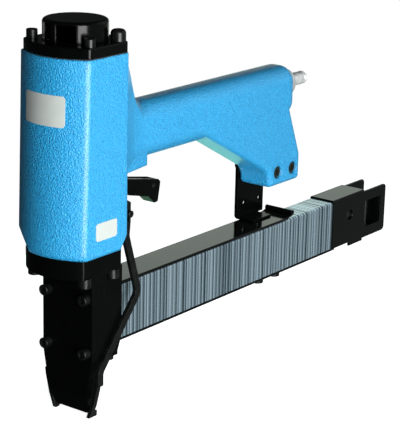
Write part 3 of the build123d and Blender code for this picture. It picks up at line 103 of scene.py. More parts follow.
# Tone of the wire, partly its own and partly painted highlight and shade for the glints along the wires: dark and
# bright ends, step from one staple to the next and scatter of the single ones
WIRE_DARK_AND_SHADE, WIRE_BRIGHT_AND_GLINT = (0.03, 0.06, 0.08), (0.66, 0.86, 1.0)
TONE_STEP, TONE_SCATTER = 0.618, 0.3
BEND_POINTS = 3
TAB_STEPS = 12
# The surroundings: direction, cosine at the edge and colour of each glow
WALL_GLOW = ((0.74, -0.62, -0.26), 0.2, (0.9, 1.0, 0.95, 1.0))
SHEET_GLOW = ((0.56, 0.52, -0.645), 0.955, (0.4, 1.0, 0.62, 1.0))
WINDOW_GLOW = ((0.78, -0.456, 0.426), 0.86, (0.9, 0.97, 1.0, 1.0))
WHITE, PALE_GREEN, LEAF_GREEN = (1.0, 1.0, 1.0), (0.88, 1.0, 0.9), (0.5, 1.0, 0.7)
FLOOR_GAP = 0.0005
FLOOR_GLOW = 0.92

STICKS_LOW, STICKS_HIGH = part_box("staple_sticks")
BARREL_LOW, BARREL_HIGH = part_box("housing")
PUSHER_LOW, PUSHER_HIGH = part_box("pusher")


def set_nodes(name):
    """A new node material with its principled shader."""
    material = bpy.data.materials.new(name)
    material.use_nodes = True
    return material, material.node_tree, material.node_tree.nodes["Principled BSDF"]


def object_place(tree):
    """The Object coordinates that every pattern is laid out on."""
    return tree.nodes.new("ShaderNodeTexCoord").outputs["Object"]


def noise(tree, place, scale, detail=2.0, roughness=0.5):
    """A noise pattern of a given scale on the object's own coordinates."""
    node = tree.nodes.new("ShaderNodeTexNoise")
    node.inputs["Scale"].default_value = scale
    node.inputs["Detail"].default_value = detail
    node.inputs["Roughness"].default_value = roughness
    tree.links.new(place, node.inputs["Vector"])
    return node.outputs["Fac"]


def stretch(tree, place, scale):
    """Object coordinates drawn out by a scale on each axis, for grain that runs one way."""
    node = tree.nodes.new("ShaderNodeMapping")
    node.inputs["Scale"].default_value = scale
    tree.links.new(place, node.inputs["Vector"])
    return node.outputs["Vector"]


def ramp(tree, value, low, high, low_at=0.3, high_at=0.7):
    """Two colours blended by a pattern."""
    node = tree.nodes.new("ShaderNodeValToRGB")
    first, last = node.color_ramp.elements
    first.position, last.position = low_at, high_at
    first.color, last.color = (*low, 1.0), (*high, 1.0)
    tree.links.new(value, node.inputs["Fac"])
    return node.outputs["Color"]


def spread(tree, value, low, high):
    """A pattern mapped to a range, for roughness."""
    node = tree.nodes.new("ShaderNodeMapRange")
    node.inputs["To Min"].default_value = low
    node.inputs["To Max"].default_value = high
    tree.links.new(value, node.inputs["Value"])
    return node.outputs["Result"]


def soft_edges(tree, radius):
    """A normal that rounds the edges a little, as paint and a file do."""
    node = tree.nodes.new("ShaderNodeBevel")
    node.samples = 6
    node.inputs["Radius"].default_value = radius
    return node.outputs["Normal"]


def bump(tree, height, strength, distance, under=None):
    """A bump from a pattern, over an edge normal where there is one."""
    node = tree.nodes.new("ShaderNodeBump")
    node.inputs["Strength"].default_value = strength
    node.inputs["Distance"].default_value = distance
    tree.links.new(height, node.inputs["Height"])
    if under is not None:
        tree.links.new(under, node.inputs["Normal"])
    return node.outputs["Normal"]


def give(nodes, material):
    """Puts one material on CAD nodes."""
    for name in nodes:
        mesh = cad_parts[name].data
        mesh.materials.clear()
        mesh.materials.append(material)


def piece(name, mesh, material, body="frame"):
    """A finished mesh as a piece of the object, riding on a body."""
    mesh.materials.clear()
    mesh.materials.append(material)
    made = bpy.data.objects.new(name, mesh)
    bpy.context.scene.collection.objects.link(made)
    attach(made, body)
    return made


class TackerPaint(bpy.types.PropertyGroup):
    """Colours and grain of the painted and plated surfaces."""
    blue: bpy.props.FloatVectorProperty(
        name="Blue", description="Hammered paint where it lies thick", subtype="COLOR", size=3,
        default=(0.017, 0.32, 0.64))
    blue_deep: bpy.props.FloatVectorProperty(
        name="Deep blue", description="Hammered paint in the pits between the flakes", subtype="COLOR", size=3,
        default=(0.008, 0.2, 0.46))
    blue_pale: bpy.props.FloatVectorProperty(
        name="Pale blue", description="Flakes of the hammered paint", subtype="COLOR", size=3,
        default=(0.06, 0.47, 0.78))
    grain: bpy.props.FloatProperty(
        name="Grain", description="Size of the hammered pattern", default=0.0012, unit="LENGTH", min=0.0005)
    grain_depth: bpy.props.FloatProperty(
        name="Grain depth", description="Height of the hammered pattern", default=0.0008, unit="LENGTH", min=0.0)
    black: bpy.props.FloatVectorProperty(
        name="Black", description="Stoved black paint", subtype="COLOR", size=3, default=(0.0008, 0.0011, 0.0009))
    edge: bpy.props.FloatProperty(
        name="Edge", description="Rounding of the painted edges", default=0.0006, unit="LENGTH", min=0.0)


class TackerStaples(bpy.types.PropertyGroup):
    """Sizes of the wire staples in the magazine."""
    pitch: bpy.props.FloatProperty(
        name="Pitch", description="Distance from one staple to the next", default=0.0016, unit="LENGTH", min=0.0005)
    width: bpy.props.FloatProperty(
        name="Wire width", description="Width of the wire along the stick", default=0.00148, unit="LENGTH",
        min=0.0005)
    thickness: bpy.props.FloatProperty(
        name="Wire thickness", description="Thickness of the wire", default=0.0015, unit="LENGTH", min=0.0005)
    bend: bpy.props.FloatProperty(
        name="Bend", description="Radius of the bends at the crown, at the wire's middle", default=0.0012,
        unit="LENGTH", min=0.0)
    shift: bpy.props.FloatProperty(
        name="Shift", description="How far single staples stand out of line", default=0.00004, unit="LENGTH", min=0.0)
    seed: bpy.props.IntProperty(name="Seed", description="Seed of the shifts", default=7)


class TackerPlates(bpy.types.PropertyGroup):
    """Sizes of the two bare plates on the barrel."""
    thickness: bpy.props.FloatProperty(
        name="Thickness", description="Thickness of a plate", default=0.0003, unit="LENGTH", min=0.0001)
    corner: bpy.props.FloatProperty(
        name="Corner", description="Corner radius of a plate", default=0.0015, unit="LENGTH", min=0.0)
    white: bpy.props.FloatVectorProperty(
        name="White", description="Colour of the plates", subtype="COLOR", size=3, default=(0.46, 0.5, 0.48))


class TackerTab(bpy.types.PropertyGroup):
    """Sizes of the bent tab behind the pusher's window."""
    rear: bpy.props.FloatProperty(
        name="Rear", description="Tab to the rear edge of the cheek", default=0.0105, unit="LENGTH")
    cheek: bpy.props.FloatProperty(
        name="Cheek", description="Outside of the cheek to the tab's root", default=0.001, unit="LENGTH")
    straight: bpy.props.FloatProperty(
        name="Straight", description="Straight length of the tab", default=0.008, unit="LENGTH", min=0.0)
    curl: bpy.props.FloatProperty(
        name="Curl", description="Radius of the curl at its free end", default=0.007, unit="LENGTH", min=0.001)
    turn: bpy.props.FloatProperty(
        name="Turn", description="Angle of the curl", subtype="ANGLE", default=math.radians(85.0))
    thickness: bpy.props.FloatProperty(
        name="Thickness", description="Thickness of the sheet", default=0.0012, unit="LENGTH", min=0.0001)
    lift: bpy.props.FloatProperty(
        name="Lift", description="Foot of the tab above the pusher's lowest edge", default=0.0045, unit="LENGTH")
    height: bpy.props.FloatProperty(
        name="Height", description="Height of the tab", default=0.034, unit="LENGTH", min=0.001)


class TackerStage(bpy.types.PropertyGroup):
    """Floor, light and camera."""
    floor_size: bpy.props.FloatProperty(
        name="Floor", description="Side of the floor", default=14.0, unit="LENGTH", min=1.0)
    floor_colour: bpy.props.FloatVectorProperty(
        name="Floor colour", description="Colour of the floor", subtype="COLOR", size=3, default=(0.9, 0.9, 0.9))
    key_power: bpy.props.FloatProperty(
        name="Key light", description="Power of the large light on the tool's left", default=51.0, unit="POWER",
        min=0.0)
    panel_power: bpy.props.FloatProperty(
        name="Rear panel", description="Power of the low panel behind the tool", default=0.18, unit="POWER", min=0.0)
    fill_power: bpy.props.FloatProperty(
        name="Fill light", description="Power of the low light on the tool's right", default=14.0, unit="POWER",
        min=0.0)
    low_power: bpy.props.FloatProperty(
        name="Low panel", description="Power of the small panel behind the nose", default=0.06, unit="POWER", min=0.0)
    sky: bpy.props.FloatProperty(
        name="Surroundings", description="Brightness of the surroundings", default=0.03, min=0.0)
    side_wall: bpy.props.FloatProperty(
        name="Side wall", description="Brightness of the wall on the tool's left", default=0.2, min=0.0)
    backdrop: bpy.props.FloatProperty(
        name="Backdrop", description="Brightness of the sheet behind the tool", default=1.4, min=0.0)
    window: bpy.props.FloatProperty(
        name="Window", description="Brightness of the window high behind the tool", default=0.4, min=0.0)
    lens: bpy.props.FloatProperty(
        name="Lens", description="Focal length on a 36 mm wide picture", default=147.85, min=10.0)
    eye: bpy.props.FloatVectorProperty(
        name="Camera", description="Place of the camera", subtype="TRANSLATION", unit="LENGTH", size=3,
        default=(-0.8836, -0.7841, 0.5096))
    bearing: bpy.props.FloatProperty(
        name="Bearing", description="Direction of view round the upright axis", subtype="ANGLE",
        default=math.radians(-52.99))
    dip: bpy.props.FloatProperty(
        name="Dip", description="How far the camera looks down", subtype="ANGLE", default=math.radians(16.62))
    roll: bpy.props.FloatProperty(
        name="Roll", description="Turn of the picture", subtype="ANGLE", default=math.radians(1.35))


class TACKER_OT_stage(bpy.types.Operator):
    """Set up the pale floor, the soft light and the camera"""
    bl_idname = "tacker.stage"
    bl_label = "Stage"

    def execute(self, context):
        stage = context.scene.tacker_stage
        self.floor(context, stage)
        self.lights(context, stage)
        self.surroundings(context, stage)
        self.camera(context, stage)
        context.scene.view_settings.view_transform = "Standard"
        return {"FINISHED"}

    def floor(self, context, stage):
        """A plain floor just below the lowest point of the tool."""
        shape = bmesh.new()
        bmesh.ops.create_grid(shape, x_segments=2, y_segments=2, size=stage.floor_size / 2)
        bmesh.ops.translate(shape, verts=shape.verts, vec=(0, 0, cad_low[2] - FLOOR_GAP))
        mesh = bpy.data.meshes.new("floor")
        shape.to_mesh(mesh)
        shape.free()
        material, tree, shader = set_nodes("pale_floor")
        pale = stage.floor_colour
        place = object_place(tree)
        colour = ramp(tree, noise(tree, place, 3.0), [0.97 * value for value in pale], pale)
        tree.links.new(colour, shader.inputs["Base Color"])
        shader.inputs["Roughness"].default_value = 0.9
        shader.inputs["Specular IOR Level"].default_value = 0.1
        shader.inputs["Emission Color"].default_value = (1.0, 1.0, 1.0, 1.0)
        shader.inputs["Emission Strength"].default_value = FLOOR_GLOW
        mesh.materials.append(material)
        floor = bpy.data.objects.new("floor", mesh)
        floor.visible_diffuse = False
        floor.visible_glossy = False
        floor.visible_shadow = False
        context.scene.collection.objects.link(floor)

    def lights(self, context, stage):
        """A broad key light on the tool's left, a fill low on its right that no gloss shows, and two pale panels."""
        for name, place, aim, width, height, power, colour in (
            ("key_light", (-0.62, -1.34, 0.24), (0.15, 0.0, 0.16), 0.8, 1.2, stage.key_power, WHITE),
            ("rear_panel", (0.492, 0.194, 0.205), (0.252, 0.014, 0.205), 0.36, 0.16, stage.panel_power, PALE_GREEN),
            ("far_fill", (0.3, 0.8, -0.9), (0.15, 0.0, 0.12), 0.6, 0.6, stage.fill_power, WHITE),
            ("low_panel", (0.27, 0.29, 0.0), (-0.02, 0.02, 0.135), 0.14, 0.08, stage.low_power, LEAF_GREEN),
        ):
            light = bpy.data.lights.new(name, "AREA")
            light.shape = "RECTANGLE"
            light.size = width
            light.size_y = height
            light.energy = power
            light.color = colour
            lamp = bpy.data.objects.new(name, light)
            lamp.location = place
            lamp.rotation_euler = (Vector(aim) - Vector(place)).to_track_quat("-Z", "Y").to_euler()
            lamp.visible_camera = False
            lamp.visible_glossy = name != "far_fill"
            context.scene.collection.objects.link(lamp)

    def surroundings(self, context, stage):
        """A dim studio with a paler wall on the left, a green sheet low behind and a window high behind the tool."""
        world = bpy.data.worlds.new("studio")
        world.use_nodes = True
        tree = world.node_tree
        ray = tree.nodes.new("ShaderNodeTexCoord").outputs["Generated"]
        light = self.glow(tree, ray, WALL_GLOW, stage.sky, stage.side_wall)
        for glow, high in ((SHEET_GLOW, stage.backdrop), (WINDOW_GLOW, stage.window)):
            both = tree.nodes.new("ShaderNodeAddShader")
            tree.links.new(light, both.inputs[0])
            tree.links.new(self.glow(tree, ray, glow, 0.0, high), both.inputs[1])
            light = both.outputs["Shader"]
        tree.nodes.remove(tree.nodes["Background"])
        tree.links.new(light, tree.nodes["World Output"].inputs["Surface"])
        context.scene.world = world

    @staticmethod
    def glow(tree, ray, kind, low, high):
        """Light of one colour that rises towards one side of the surroundings."""
        towards, edge, colour = kind
        facing = tree.nodes.new("ShaderNodeVectorMath")
        facing.operation = "DOT_PRODUCT"
        facing.inputs[1].default_value = towards
        tree.links.new(ray, facing.inputs[0])
        rise = tree.nodes.new("ShaderNodeMapRange")
        rise.interpolation_type = "SMOOTHSTEP"
        rise.inputs["From Min"].default_value = edge
        rise.inputs["To Min"].default_value = low
        rise.inputs["To Max"].default_value = high
        tree.links.new(facing.outputs["Value"], rise.inputs["Value"])
        background = tree.nodes.new("ShaderNodeBackground")
        background.name = "Glow"
        background.inputs["Color"].default_value = colour
        tree.links.new(rise.outputs["Result"], background.inputs["Strength"])
        return background.outputs["Background"]

    def camera(self, context, stage):
        """The camera at the photograph's place, with the picture's small roll."""
        bearing, dip, roll = stage.bearing, stage.dip, stage.roll
        right = Vector((math.cos(bearing), math.sin(bearing), 0.0))
        view = Vector((-math.sin(bearing) * math.cos(dip), math.cos(bearing) * math.cos(dip), -math.sin(dip)))
        up = right.cross(view)
        across = right * math.cos(roll) + up * math.sin(roll)
        upward = up * math.cos(roll) - right * math.sin(roll)
        lens = bpy.data.cameras.new("camera")
        lens.sensor_fit = "HORIZONTAL"
        lens.sensor_width = 36.0
        lens.lens = stage.lens
        lens.clip_end = 50.0
        camera = bpy.data.objects.new("camera", lens)
        turn = Matrix((across, upward, -view)).transposed().to_4x4()
        camera.matrix_world = Matrix.Translation(stage.eye) @ turn
        context.scene.collection.objects.link(camera)
        context.scene.camera = camera


class TACKER_OT_blue_casting(bpy.types.Operator):
    """Give the casting its hammered blue paint"""
    bl_idname = "tacker.blue_casting"
    bl_label = "Blue casting"

    def execute(self, context):
        paint = context.scene.tacker_paint
        material, tree, shader = set_nodes("hammered_blue")
        place = object_place(tree)
        cells = tree.nodes.new("ShaderNodeTexVoronoi")
        cells.feature = "SMOOTH_F1"
        cells.inputs["Scale"].default_value = 1.0 / paint.grain
        cells.inputs["Smoothness"].default_value = 0.8
        tree.links.new(place, cells.inputs["Vector"])
        flakes = noise(tree, place, 1.1 / paint.grain, detail=3.0, roughness=0.6)
        cloud = noise(tree, place, 40.0, detail=2.0)
        base = ramp(tree, flakes, paint.blue_deep, paint.blue, 0.3, 0.52)
        pale = ramp(tree, flakes, (0.0, 0.0, 0.0), (1.0, 1.0, 1.0), 0.52, 0.74)
        mixed = tree.nodes.new("ShaderNodeMix")
        mixed.data_type = "RGBA"
        mixed.inputs["B"].default_value = (*paint.blue_pale, 1.0)
        tree.links.new(pale, mixed.inputs["Factor"])
        tree.links.new(base, mixed.inputs["A"])
        tree.links.new(mixed.outputs["Result"], shader.inputs["Base Color"])
        tree.links.new(spread(tree, cloud, 0.3, 0.44), shader.inputs["Roughness"])
        shader.inputs["Specular IOR Level"].default_value = 0.4
        shader.inputs["Coat Weight"].default_value = 1.0
        shader.inputs["Coat Roughness"].default_value = 0.3
        tree.links.new(soft_edges(tree, 0.006), shader.inputs["Coat Normal"])
        height = tree.nodes.new("ShaderNodeMath")
        height.operation = "ADD"
        tree.links.new(cells.outputs["Distance"], height.inputs[0])
        tree.links.new(flakes, height.inputs[1])
        normal = bump(tree, height.outputs["Value"], 1.0, paint.grain_depth, soft_edges(tree, 3 * paint.edge))
        tree.links.new(normal, shader.inputs["Normal"])
        give(["housing"], material)
        return {"FINISHED"}


class TACKER_OT_black_parts(bpy.types.Operator):
    """Paint the cap, hood, nose, bracket and trigger black, and the magazine's cover, base and pusher smoother"""
    bl_idname = "tacker.black_parts"
    bl_label = "Black painted parts"

    def execute(self, context):
        paint = context.scene.tacker_paint
        for name, nodes, low, high, level, edge in (
            ("stoved_black", BLACK_PAINTED, 0.14, 0.24, 0.08, paint.edge),
            ("cast_black", CAST_BLACK, 0.12, 0.2, 0.15, 3 * paint.edge),
            ("gloss_black", GLOSS_BLACK, 0.08, 0.14, 0.3, paint.edge),
            ("smooth_black", SMOOTH_BLACK, 0.08, 0.14, 0.22, paint.edge),
        ):
            material, tree, shader = set_nodes(name)
            place = object_place(tree)
            peel = noise(tree, place, 700.0, detail=2.0)
            cloud = noise(tree, place, 60.0, detail=3.0)
            colour = ramp(tree, cloud, paint.black, [1.6 * value for value in paint.black])
            tree.links.new(colour, shader.inputs["Base Color"])
            tree.links.new(spread(tree, cloud, low, high), shader.inputs["Roughness"])
            shader.inputs["Specular IOR Level"].default_value = level
            normal = bump(tree, peel, 0.12, 0.0001, soft_edges(tree, edge))
            tree.links.new(normal, shader.inputs["Normal"])
            give(nodes, material)
        return {"FINISHED"}


class TACKER_OT_black_steel(bpy.types.Operator):
    """Black the screws, pins, contact arm and safety lever"""
    bl_idname = "tacker.black_steel"
    bl_label = "Blacked steel"

    def execute(self, context):
        material, tree, shader = set_nodes("blacked_steel")
        place = object_place(tree)
        cloud = noise(tree, place, 220.0, detail=4.0, roughness=0.6)
        tree.links.new(ramp(tree, cloud, (0.002, 0.0024, 0.0023), (0.007, 0.008, 0.008)), shader.inputs["Base Color"])
        tree.links.new(spread(tree, cloud, 0.22, 0.42), shader.inputs["Roughness"])
        shader.inputs["Metallic"].default_value = 0.3
        shader.inputs["Specular IOR Level"].default_value = 0.4
        normal = bump(tree, noise(tree, place, 1500.0), 0.1, 0.00005, soft_edges(tree, 0.0004))
        tree.links.new(normal, shader.inputs["Normal"])
        give(BLACK_STEEL, material)
        return {"FINISHED"}


class TACKER_OT_bare_metal(bpy.types.Operator):
    """Finish the plug, bushing, rail, springs and valve as bare metal"""
    bl_idname = "tacker.bare_metal"
    bl_label = "Bare metal"

    def execute(self, context):
        for name, nodes, low, high, rough, grain, metal in (
            ("oiled_steel", OILED_STEEL, (0.008, 0.013, 0.01), (0.022, 0.032, 0.026), (0.2, 0.32), (60, 900, 60),
             0.3),
            ("bright_steel", BRIGHT_STEEL, (0.62, 0.64, 0.65), (0.78, 0.8, 0.8), (0.12, 0.22), (900, 60, 60), 0.5),
            ("turned_aluminium", TURNED_ALUMINIUM, (0.6, 0.62, 0.63), (0.76, 0.78, 0.79), (0.25, 0.4),
             (1800, 40, 40), 0.7),
            ("rolled_steel", ROLLED_STEEL, (0.1, 0.105, 0.11), (0.2, 0.21, 0.22), (0.28, 0.42), (20, 700, 700), 1.0),
            ("spring_steel", SPRING_STEEL, (0.2, 0.22, 0.25), (0.36, 0.38, 0.42), (0.22, 0.36), (60, 60, 900), 1.0),
            ("turned_brass", TURNED_BRASS, (0.58, 0.42, 0.16), (0.74, 0.56, 0.25), (0.2, 0.34), (60, 60, 900), 1.0),
        ):
            material, tree, shader = set_nodes(name)
            lines = noise(tree, stretch(tree, object_place(tree), grain), 1.0, detail=3.0)
            tree.links.new(ramp(tree, lines, low, high), shader.inputs["Base Color"])
            tree.links.new(spread(tree, lines, *rough), shader.inputs["Roughness"])
            shader.inputs["Metallic"].default_value = metal
            normal = bump(tree, lines, 0.15, 0.00005, soft_edges(tree, 0.0003))
            tree.links.new(normal, shader.inputs["Normal"])
            give(nodes, material)
        return {"FINISHED"}


class TACKER_OT_seals(bpy.types.Operator):
    """Finish the bumper, seals and gasket as rubber and the piston ring as plastic"""
    bl_idname = "tacker.seals"
    bl_label = "Seals"

    def execute(self, context):
        for name, nodes, low, high, rough in (
            ("black_rubber", RUBBER, (0.012, 0.012, 0.012), (0.03, 0.03, 0.03), (0.6, 0.8)),
            ("ring_plastic", ("piston_ring",), (0.42, 0.34, 0.22), (0.55, 0.46, 0.32), (0.4, 0.55)),
        ):
            material, tree, shader = set_nodes(name)
            grain = noise(tree, object_place(tree), 900.0, detail=3.0)
            tree.links.new(ramp(tree, grain, low, high), shader.inputs["Base Color"])
            tree.links.new(spread(tree, grain, *rough), shader.inputs["Roughness"])
            tree.links.new(bump(tree, grain, 0.2, 0.00008), shader.inputs["Normal"])
            give(nodes, material)
        return {"FINISHED"}


class TACKER_OT_staples(bpy.types.Operator):
    """Load the magazine with wire staples, one beside the other"""
    bl_idname = "tacker.staples"
    bl_label = "Staples"

    def execute(self, context):
        sizes = context.scene.tacker_staples
        count = round((STICKS_HIGH.x - STICKS_LOW.x) / sizes.pitch)
        pitch = (STICKS_HIGH.x - STICKS_LOW.x) / count
        material = self.wire(pitch)
        tree = self.row(material)
        values = {
            "Count": count,
            "Start": STICKS_LOW.x + pitch / 2,
            "Pitch": pitch,
            "Half Crown": STICKS_HIGH.y - sizes.thickness / 2 - sizes.shift,
            "Tip": STICKS_LOW.z,
            "Top": STICKS_HIGH.z - sizes.thickness / 2,
            "Wire Width": sizes.width,
            "Wire Thickness": sizes.thickness,
            "Bend": sizes.bend,
            "Shift": sizes.shift,
            "Seed": sizes.seed,
        }
        carrier = bpy.data.objects.new("staple_row", bpy.data.meshes.new("staple_row"))
        context.scene.collection.objects.link(carrier)
        modifier = carrier.modifiers.new("Staple row", "NODES")
        modifier.node_group = tree
        for item in tree.interface.items_tree:
            if item.item_type == "SOCKET" and item.in_out == "INPUT" and item.name in values:
                modifier[item.identifier] = values[item.name]
        context.view_layer.update()
        shown = carrier.evaluated_get(context.evaluated_depsgraph_get())
        mesh = bpy.data.meshes.new_from_object(shown)
        bpy.data.objects.remove(carrier)
        if len(mesh.polygons) == 0:
            raise RuntimeError("the staple row came out empty")
        staples = piece("wire_staples", mesh, material)
        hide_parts("staple_sticks")
        return {"FINISHED"}

    def wire(self, pitch):
        """Drawn galvanised wire, whose tone steps from each staple to the next and never drifts along the row; the
        tone is partly the wire's own and partly painted highlight and shade, the bright and dark stripes of glints
        along the row.
        """
        material, tree, shader = set_nodes("galvanised_wire_painted_stripes")
        place = object_place(tree)
        apart = tree.nodes.new("ShaderNodeSeparateXYZ")
        tree.links.new(place, apart.inputs["Vector"])
        along = tree.nodes.new("ShaderNodeMapRange")
        along.clamp = False
        along.inputs["From Min"].default_value = STICKS_LOW.x
        along.inputs["From Max"].default_value = STICKS_LOW.x + pitch
        tree.links.new(apart.outputs["X"], along.inputs["Value"])
        number = tree.nodes.new("ShaderNodeMath")
        number.operation = "FLOOR"
        tree.links.new(along.outputs["Result"], number.inputs[0])
        single = tree.nodes.new("ShaderNodeTexWhiteNoise")
        single.noise_dimensions = "1D"
        tree.links.new(number.outputs["Value"], single.inputs["W"])
        step = tree.nodes.new("ShaderNodeMath")
        step.operation = "MULTIPLY"
        step.inputs[1].default_value = TONE_STEP
        tree.links.new(number.outputs["Value"], step.inputs[0])
        mixed = tree.nodes.new("ShaderNodeMath")
        mixed.operation = "MULTIPLY_ADD"
        mixed.inputs[1].default_value = TONE_SCATTER
        tree.links.new(single.outputs["Value"], mixed.inputs[0])
        tree.links.new(step.outputs["Value"], mixed.inputs[2])
        share = tree.nodes.new("ShaderNodeMath")
        share.operation = "FRACT"
        tree.links.new(mixed.outputs["Value"], share.inputs[0])
        cloud = noise(tree, place, 25.0, detail=2.0)
        # Painted highlight and shade: each staple's tone runs from near black to bright bluish white to stand for
        # glints on the wires
        tone = ramp(tree, share.outputs["Value"], WIRE_DARK_AND_SHADE, WIRE_BRIGHT_AND_GLINT, 0.0, 1.0)
        tree.links.new(tone, shader.inputs["Base Color"])
        shader.inputs["Metallic"].default_value = 0.8
        tree.links.new(spread(tree, cloud, 0.16, 0.24), shader.inputs["Roughness"])
        return material

    def row(self, material):
        """The tree that bends one staple and sets a row of them along the rail."""
        tree = bpy.data.node_groups.new("Staple row", "GeometryNodeTree")
        tree.is_modifier = True
        face = tree.interface
        face.new_socket("Geometry", in_out="OUTPUT", socket_type="NodeSocketGeometry")
        for name in ("Count", "Seed"):
            face.new_socket(name, in_out="INPUT", socket_type="NodeSocketInt")
        for name in ("Start", "Pitch", "Half Crown", "Tip", "Top", "Wire Width", "Wire Thickness", "Bend", "Shift"):
            face.new_socket(name, in_out="INPUT", socket_type="NodeSocketFloat")
        add, link = tree.nodes.new, tree.links.new
        given = add("NodeGroupInput").outputs

        def point(x, y, z):
            """A corner of the staple's middle line or of the row."""
            node = add("ShaderNodeCombineXYZ")
            for socket, value in zip(node.inputs, (x, y, z)):
                if value is not None:
                    link(value, socket)
            return node.outputs["Vector"]

        other_side = add("ShaderNodeMath")
        other_side.operation = "MULTIPLY"
        other_side.inputs[1].default_value = -1.0
        link(given["Half Crown"], other_side.inputs[0])
        left, right = other_side.outputs["Value"], given["Half Crown"]
        bow = add("GeometryNodeCurvePrimitiveQuadrilateral")
        bow.mode = "POINTS"
        corners = ((left, given["Tip"]), (left, given["Top"]), (right, given["Top"]), (right, given["Tip"]))
        for number, (y, z) in enumerate(corners, start=1):
            link(point(None, y, z), bow.inputs[f"Point {number}"])
        opened = add("GeometryNodeSetSplineCyclic")
        opened.inputs["Cyclic"].default_value = False
        link(bow.outputs["Curve"], opened.inputs["Geometry"])
        rounded = add("GeometryNodeFilletCurve")
        rounded.mode = "POLY"
        rounded.inputs["Count"].default_value = BEND_POINTS
        rounded.inputs["Limit Radius"].default_value = True
        link(opened.outputs["Geometry"], rounded.inputs["Curve"])
        link(given["Bend"], rounded.inputs["Radius"])
        section = add("GeometryNodeCurvePrimitiveQuadrilateral")
        link(given["Wire Thickness"], section.inputs["Width"])
        link(given["Wire Width"], section.inputs["Height"])
        wire = add("GeometryNodeCurveToMesh")
        wire.inputs["Fill Caps"].default_value = True
        link(rounded.outputs["Curve"], wire.inputs["Curve"])
        link(section.outputs["Curve"], wire.inputs["Profile Curve"])
        spots = add("GeometryNodeMeshLine")
        spots.mode = "OFFSET"
        link(given["Count"], spots.inputs["Count"])
        link(point(given["Start"], None, None), spots.inputs["Start Location"])
        link(point(given["Pitch"], None, None), spots.inputs["Offset"])
        wander = add("FunctionNodeRandomValue")
        wander.data_type = "FLOAT"
        less = add("ShaderNodeMath")
        less.operation = "MULTIPLY"
        less.inputs[1].default_value = -1.0
        link(given["Shift"], less.inputs[0])
        link(less.outputs["Value"], wander.inputs[2])
        link(given["Shift"], wander.inputs[3])
        link(given["Seed"], wander.inputs["Seed"])
        moved = add("GeometryNodeSetPosition")
        link(spots.outputs["Mesh"], moved.inputs["Geometry"])
        link(point(None, wander.outputs[1], None), moved.inputs["Offset"])
        placed = add("GeometryNodeInstanceOnPoints")
        link(moved.outputs["Geometry"], placed.inputs["Points"])
        link(wire.outputs["Mesh"], placed.inputs["Instance"])
        realised = add("GeometryNodeRealizeInstances")
        link(placed.outputs["Instances"], realised.inputs["Geometry"])
        flat = add("GeometryNodeSetShadeSmooth")
        flat.inputs["Shade Smooth"].default_value = False
        link(realised.outputs["Geometry"], flat.inputs["Geometry"])
        painted = add("GeometryNodeSetMaterial")
        painted.inputs["Material"].default_value = material
        link(flat.outputs["Geometry"], painted.inputs["Geometry"])
        link(painted.outputs["Geometry"], add("NodeGroupOutput").inputs["Geometry"])
        return tree


class TACKER_OT_plates(bpy.types.Operator):
    """Stick the two bare white plates on the barrel"""
    bl_idname = "tacker.plates"
    bl_label = "Bare plates"

    def execute(self, context):
        sizes = context.scene.tacker_plates
        material, tree, shader = set_nodes("white_plate")
        place = object_place(tree)
        cloud = noise(tree, place, 120.0, detail=2.0)
        white = list(sizes.white)
        tree.links.new(ramp(tree, cloud, [0.94 * value for value in white], white), shader.inputs["Base Color"])
        tree.links.new(spread(tree, cloud, 0.3, 0.42), shader.inputs["Roughness"])
        tree.links.new(bump(tree, noise(tree, place, 500.0), 0.1, 0.00005), shader.inputs["Normal"])
        front = self.plate(sizes, *FRONT_PLATE, self.front_skin)
        side = self.plate(sizes, *SIDE_PLATE, self.side_skin)
        for name, mesh in (("front_plate_bare", front), ("side_plate_bare", side)):
            piece(name, mesh, material)
        return {"FINISHED"}

    @staticmethod
    def front_skin(across, up, out):
        """A point on the barrel's bulging front, out of its face by a distance."""
        corner = FRONT_EDGE + FRONT_LEAN * (up - BARREL_LOW.z) / (BARREL_HIGH.z - BARREL_LOW.z)
        radius = (FRONT_HALF_WIDTH**2 + FRONT_BULGE**2) / (2 * FRONT_BULGE)
        centre = corner - FRONT_BULGE + radius
        return Vector((centre - math.sqrt(radius**2 - across**2) - out, across, up))

    @staticmethod
    def side_skin(across, up, out):
        """A point on the barrel's flat left side, out of its face by a distance."""
        return Vector((across, BARREL_LOW.y - out, up))

    def plate(self, sizes, across, up, skin):
        """A thin plate with round corners laid on a skin of the barrel."""
        columns, rows = PLATE_COLUMNS, PLATE_ROWS
        shape = bmesh.new()
        sheets = []
        for out in (0.0, sizes.thickness):
            sheet = []
            for row in range(rows + 1):
                part = row / rows
                z = up[0] + (up[1] - up[0]) * part
                edge = min(z - up[0], up[1] - z)
                inset = 0.0
                if edge < sizes.corner:
                    inset = sizes.corner - math.sqrt(sizes.corner**2 - (sizes.corner - edge)**2)
                low, high = across[0] + inset, across[1] - inset
                sheet.append([shape.verts.new(skin(low + (high - low) * column / columns, z, out))
                              for column in range(columns + 1)])
            sheets.append(sheet)
        under, over = sheets
        for row in range(rows):
            for column in range(columns):
                for sheet in sheets:
                    shape.faces.new((sheet[row][column], sheet[row][column + 1],
                                     sheet[row + 1][column + 1], sheet[row + 1][column]))
        ring = [(row, 0) for row in range(rows)] + [(rows, column) for column in range(columns)]
        ring += [(row, columns) for row in range(rows, 0, -1)] + [(0, column) for column in range(columns, 0, -1)]
        for (row, column), (next_row, next_column) in zip(ring, ring[1:] + ring[:1]):
            shape.faces.new((under[row][column], under[next_row][next_column],
                             over[next_row][next_column], over[row][column]))
        bmesh.ops.recalc_face_normals(shape, faces=shape.faces)
        mesh = bpy.data.meshes.new("plate")
        shape.to_mesh(mesh)
        shape.free()
        return mesh


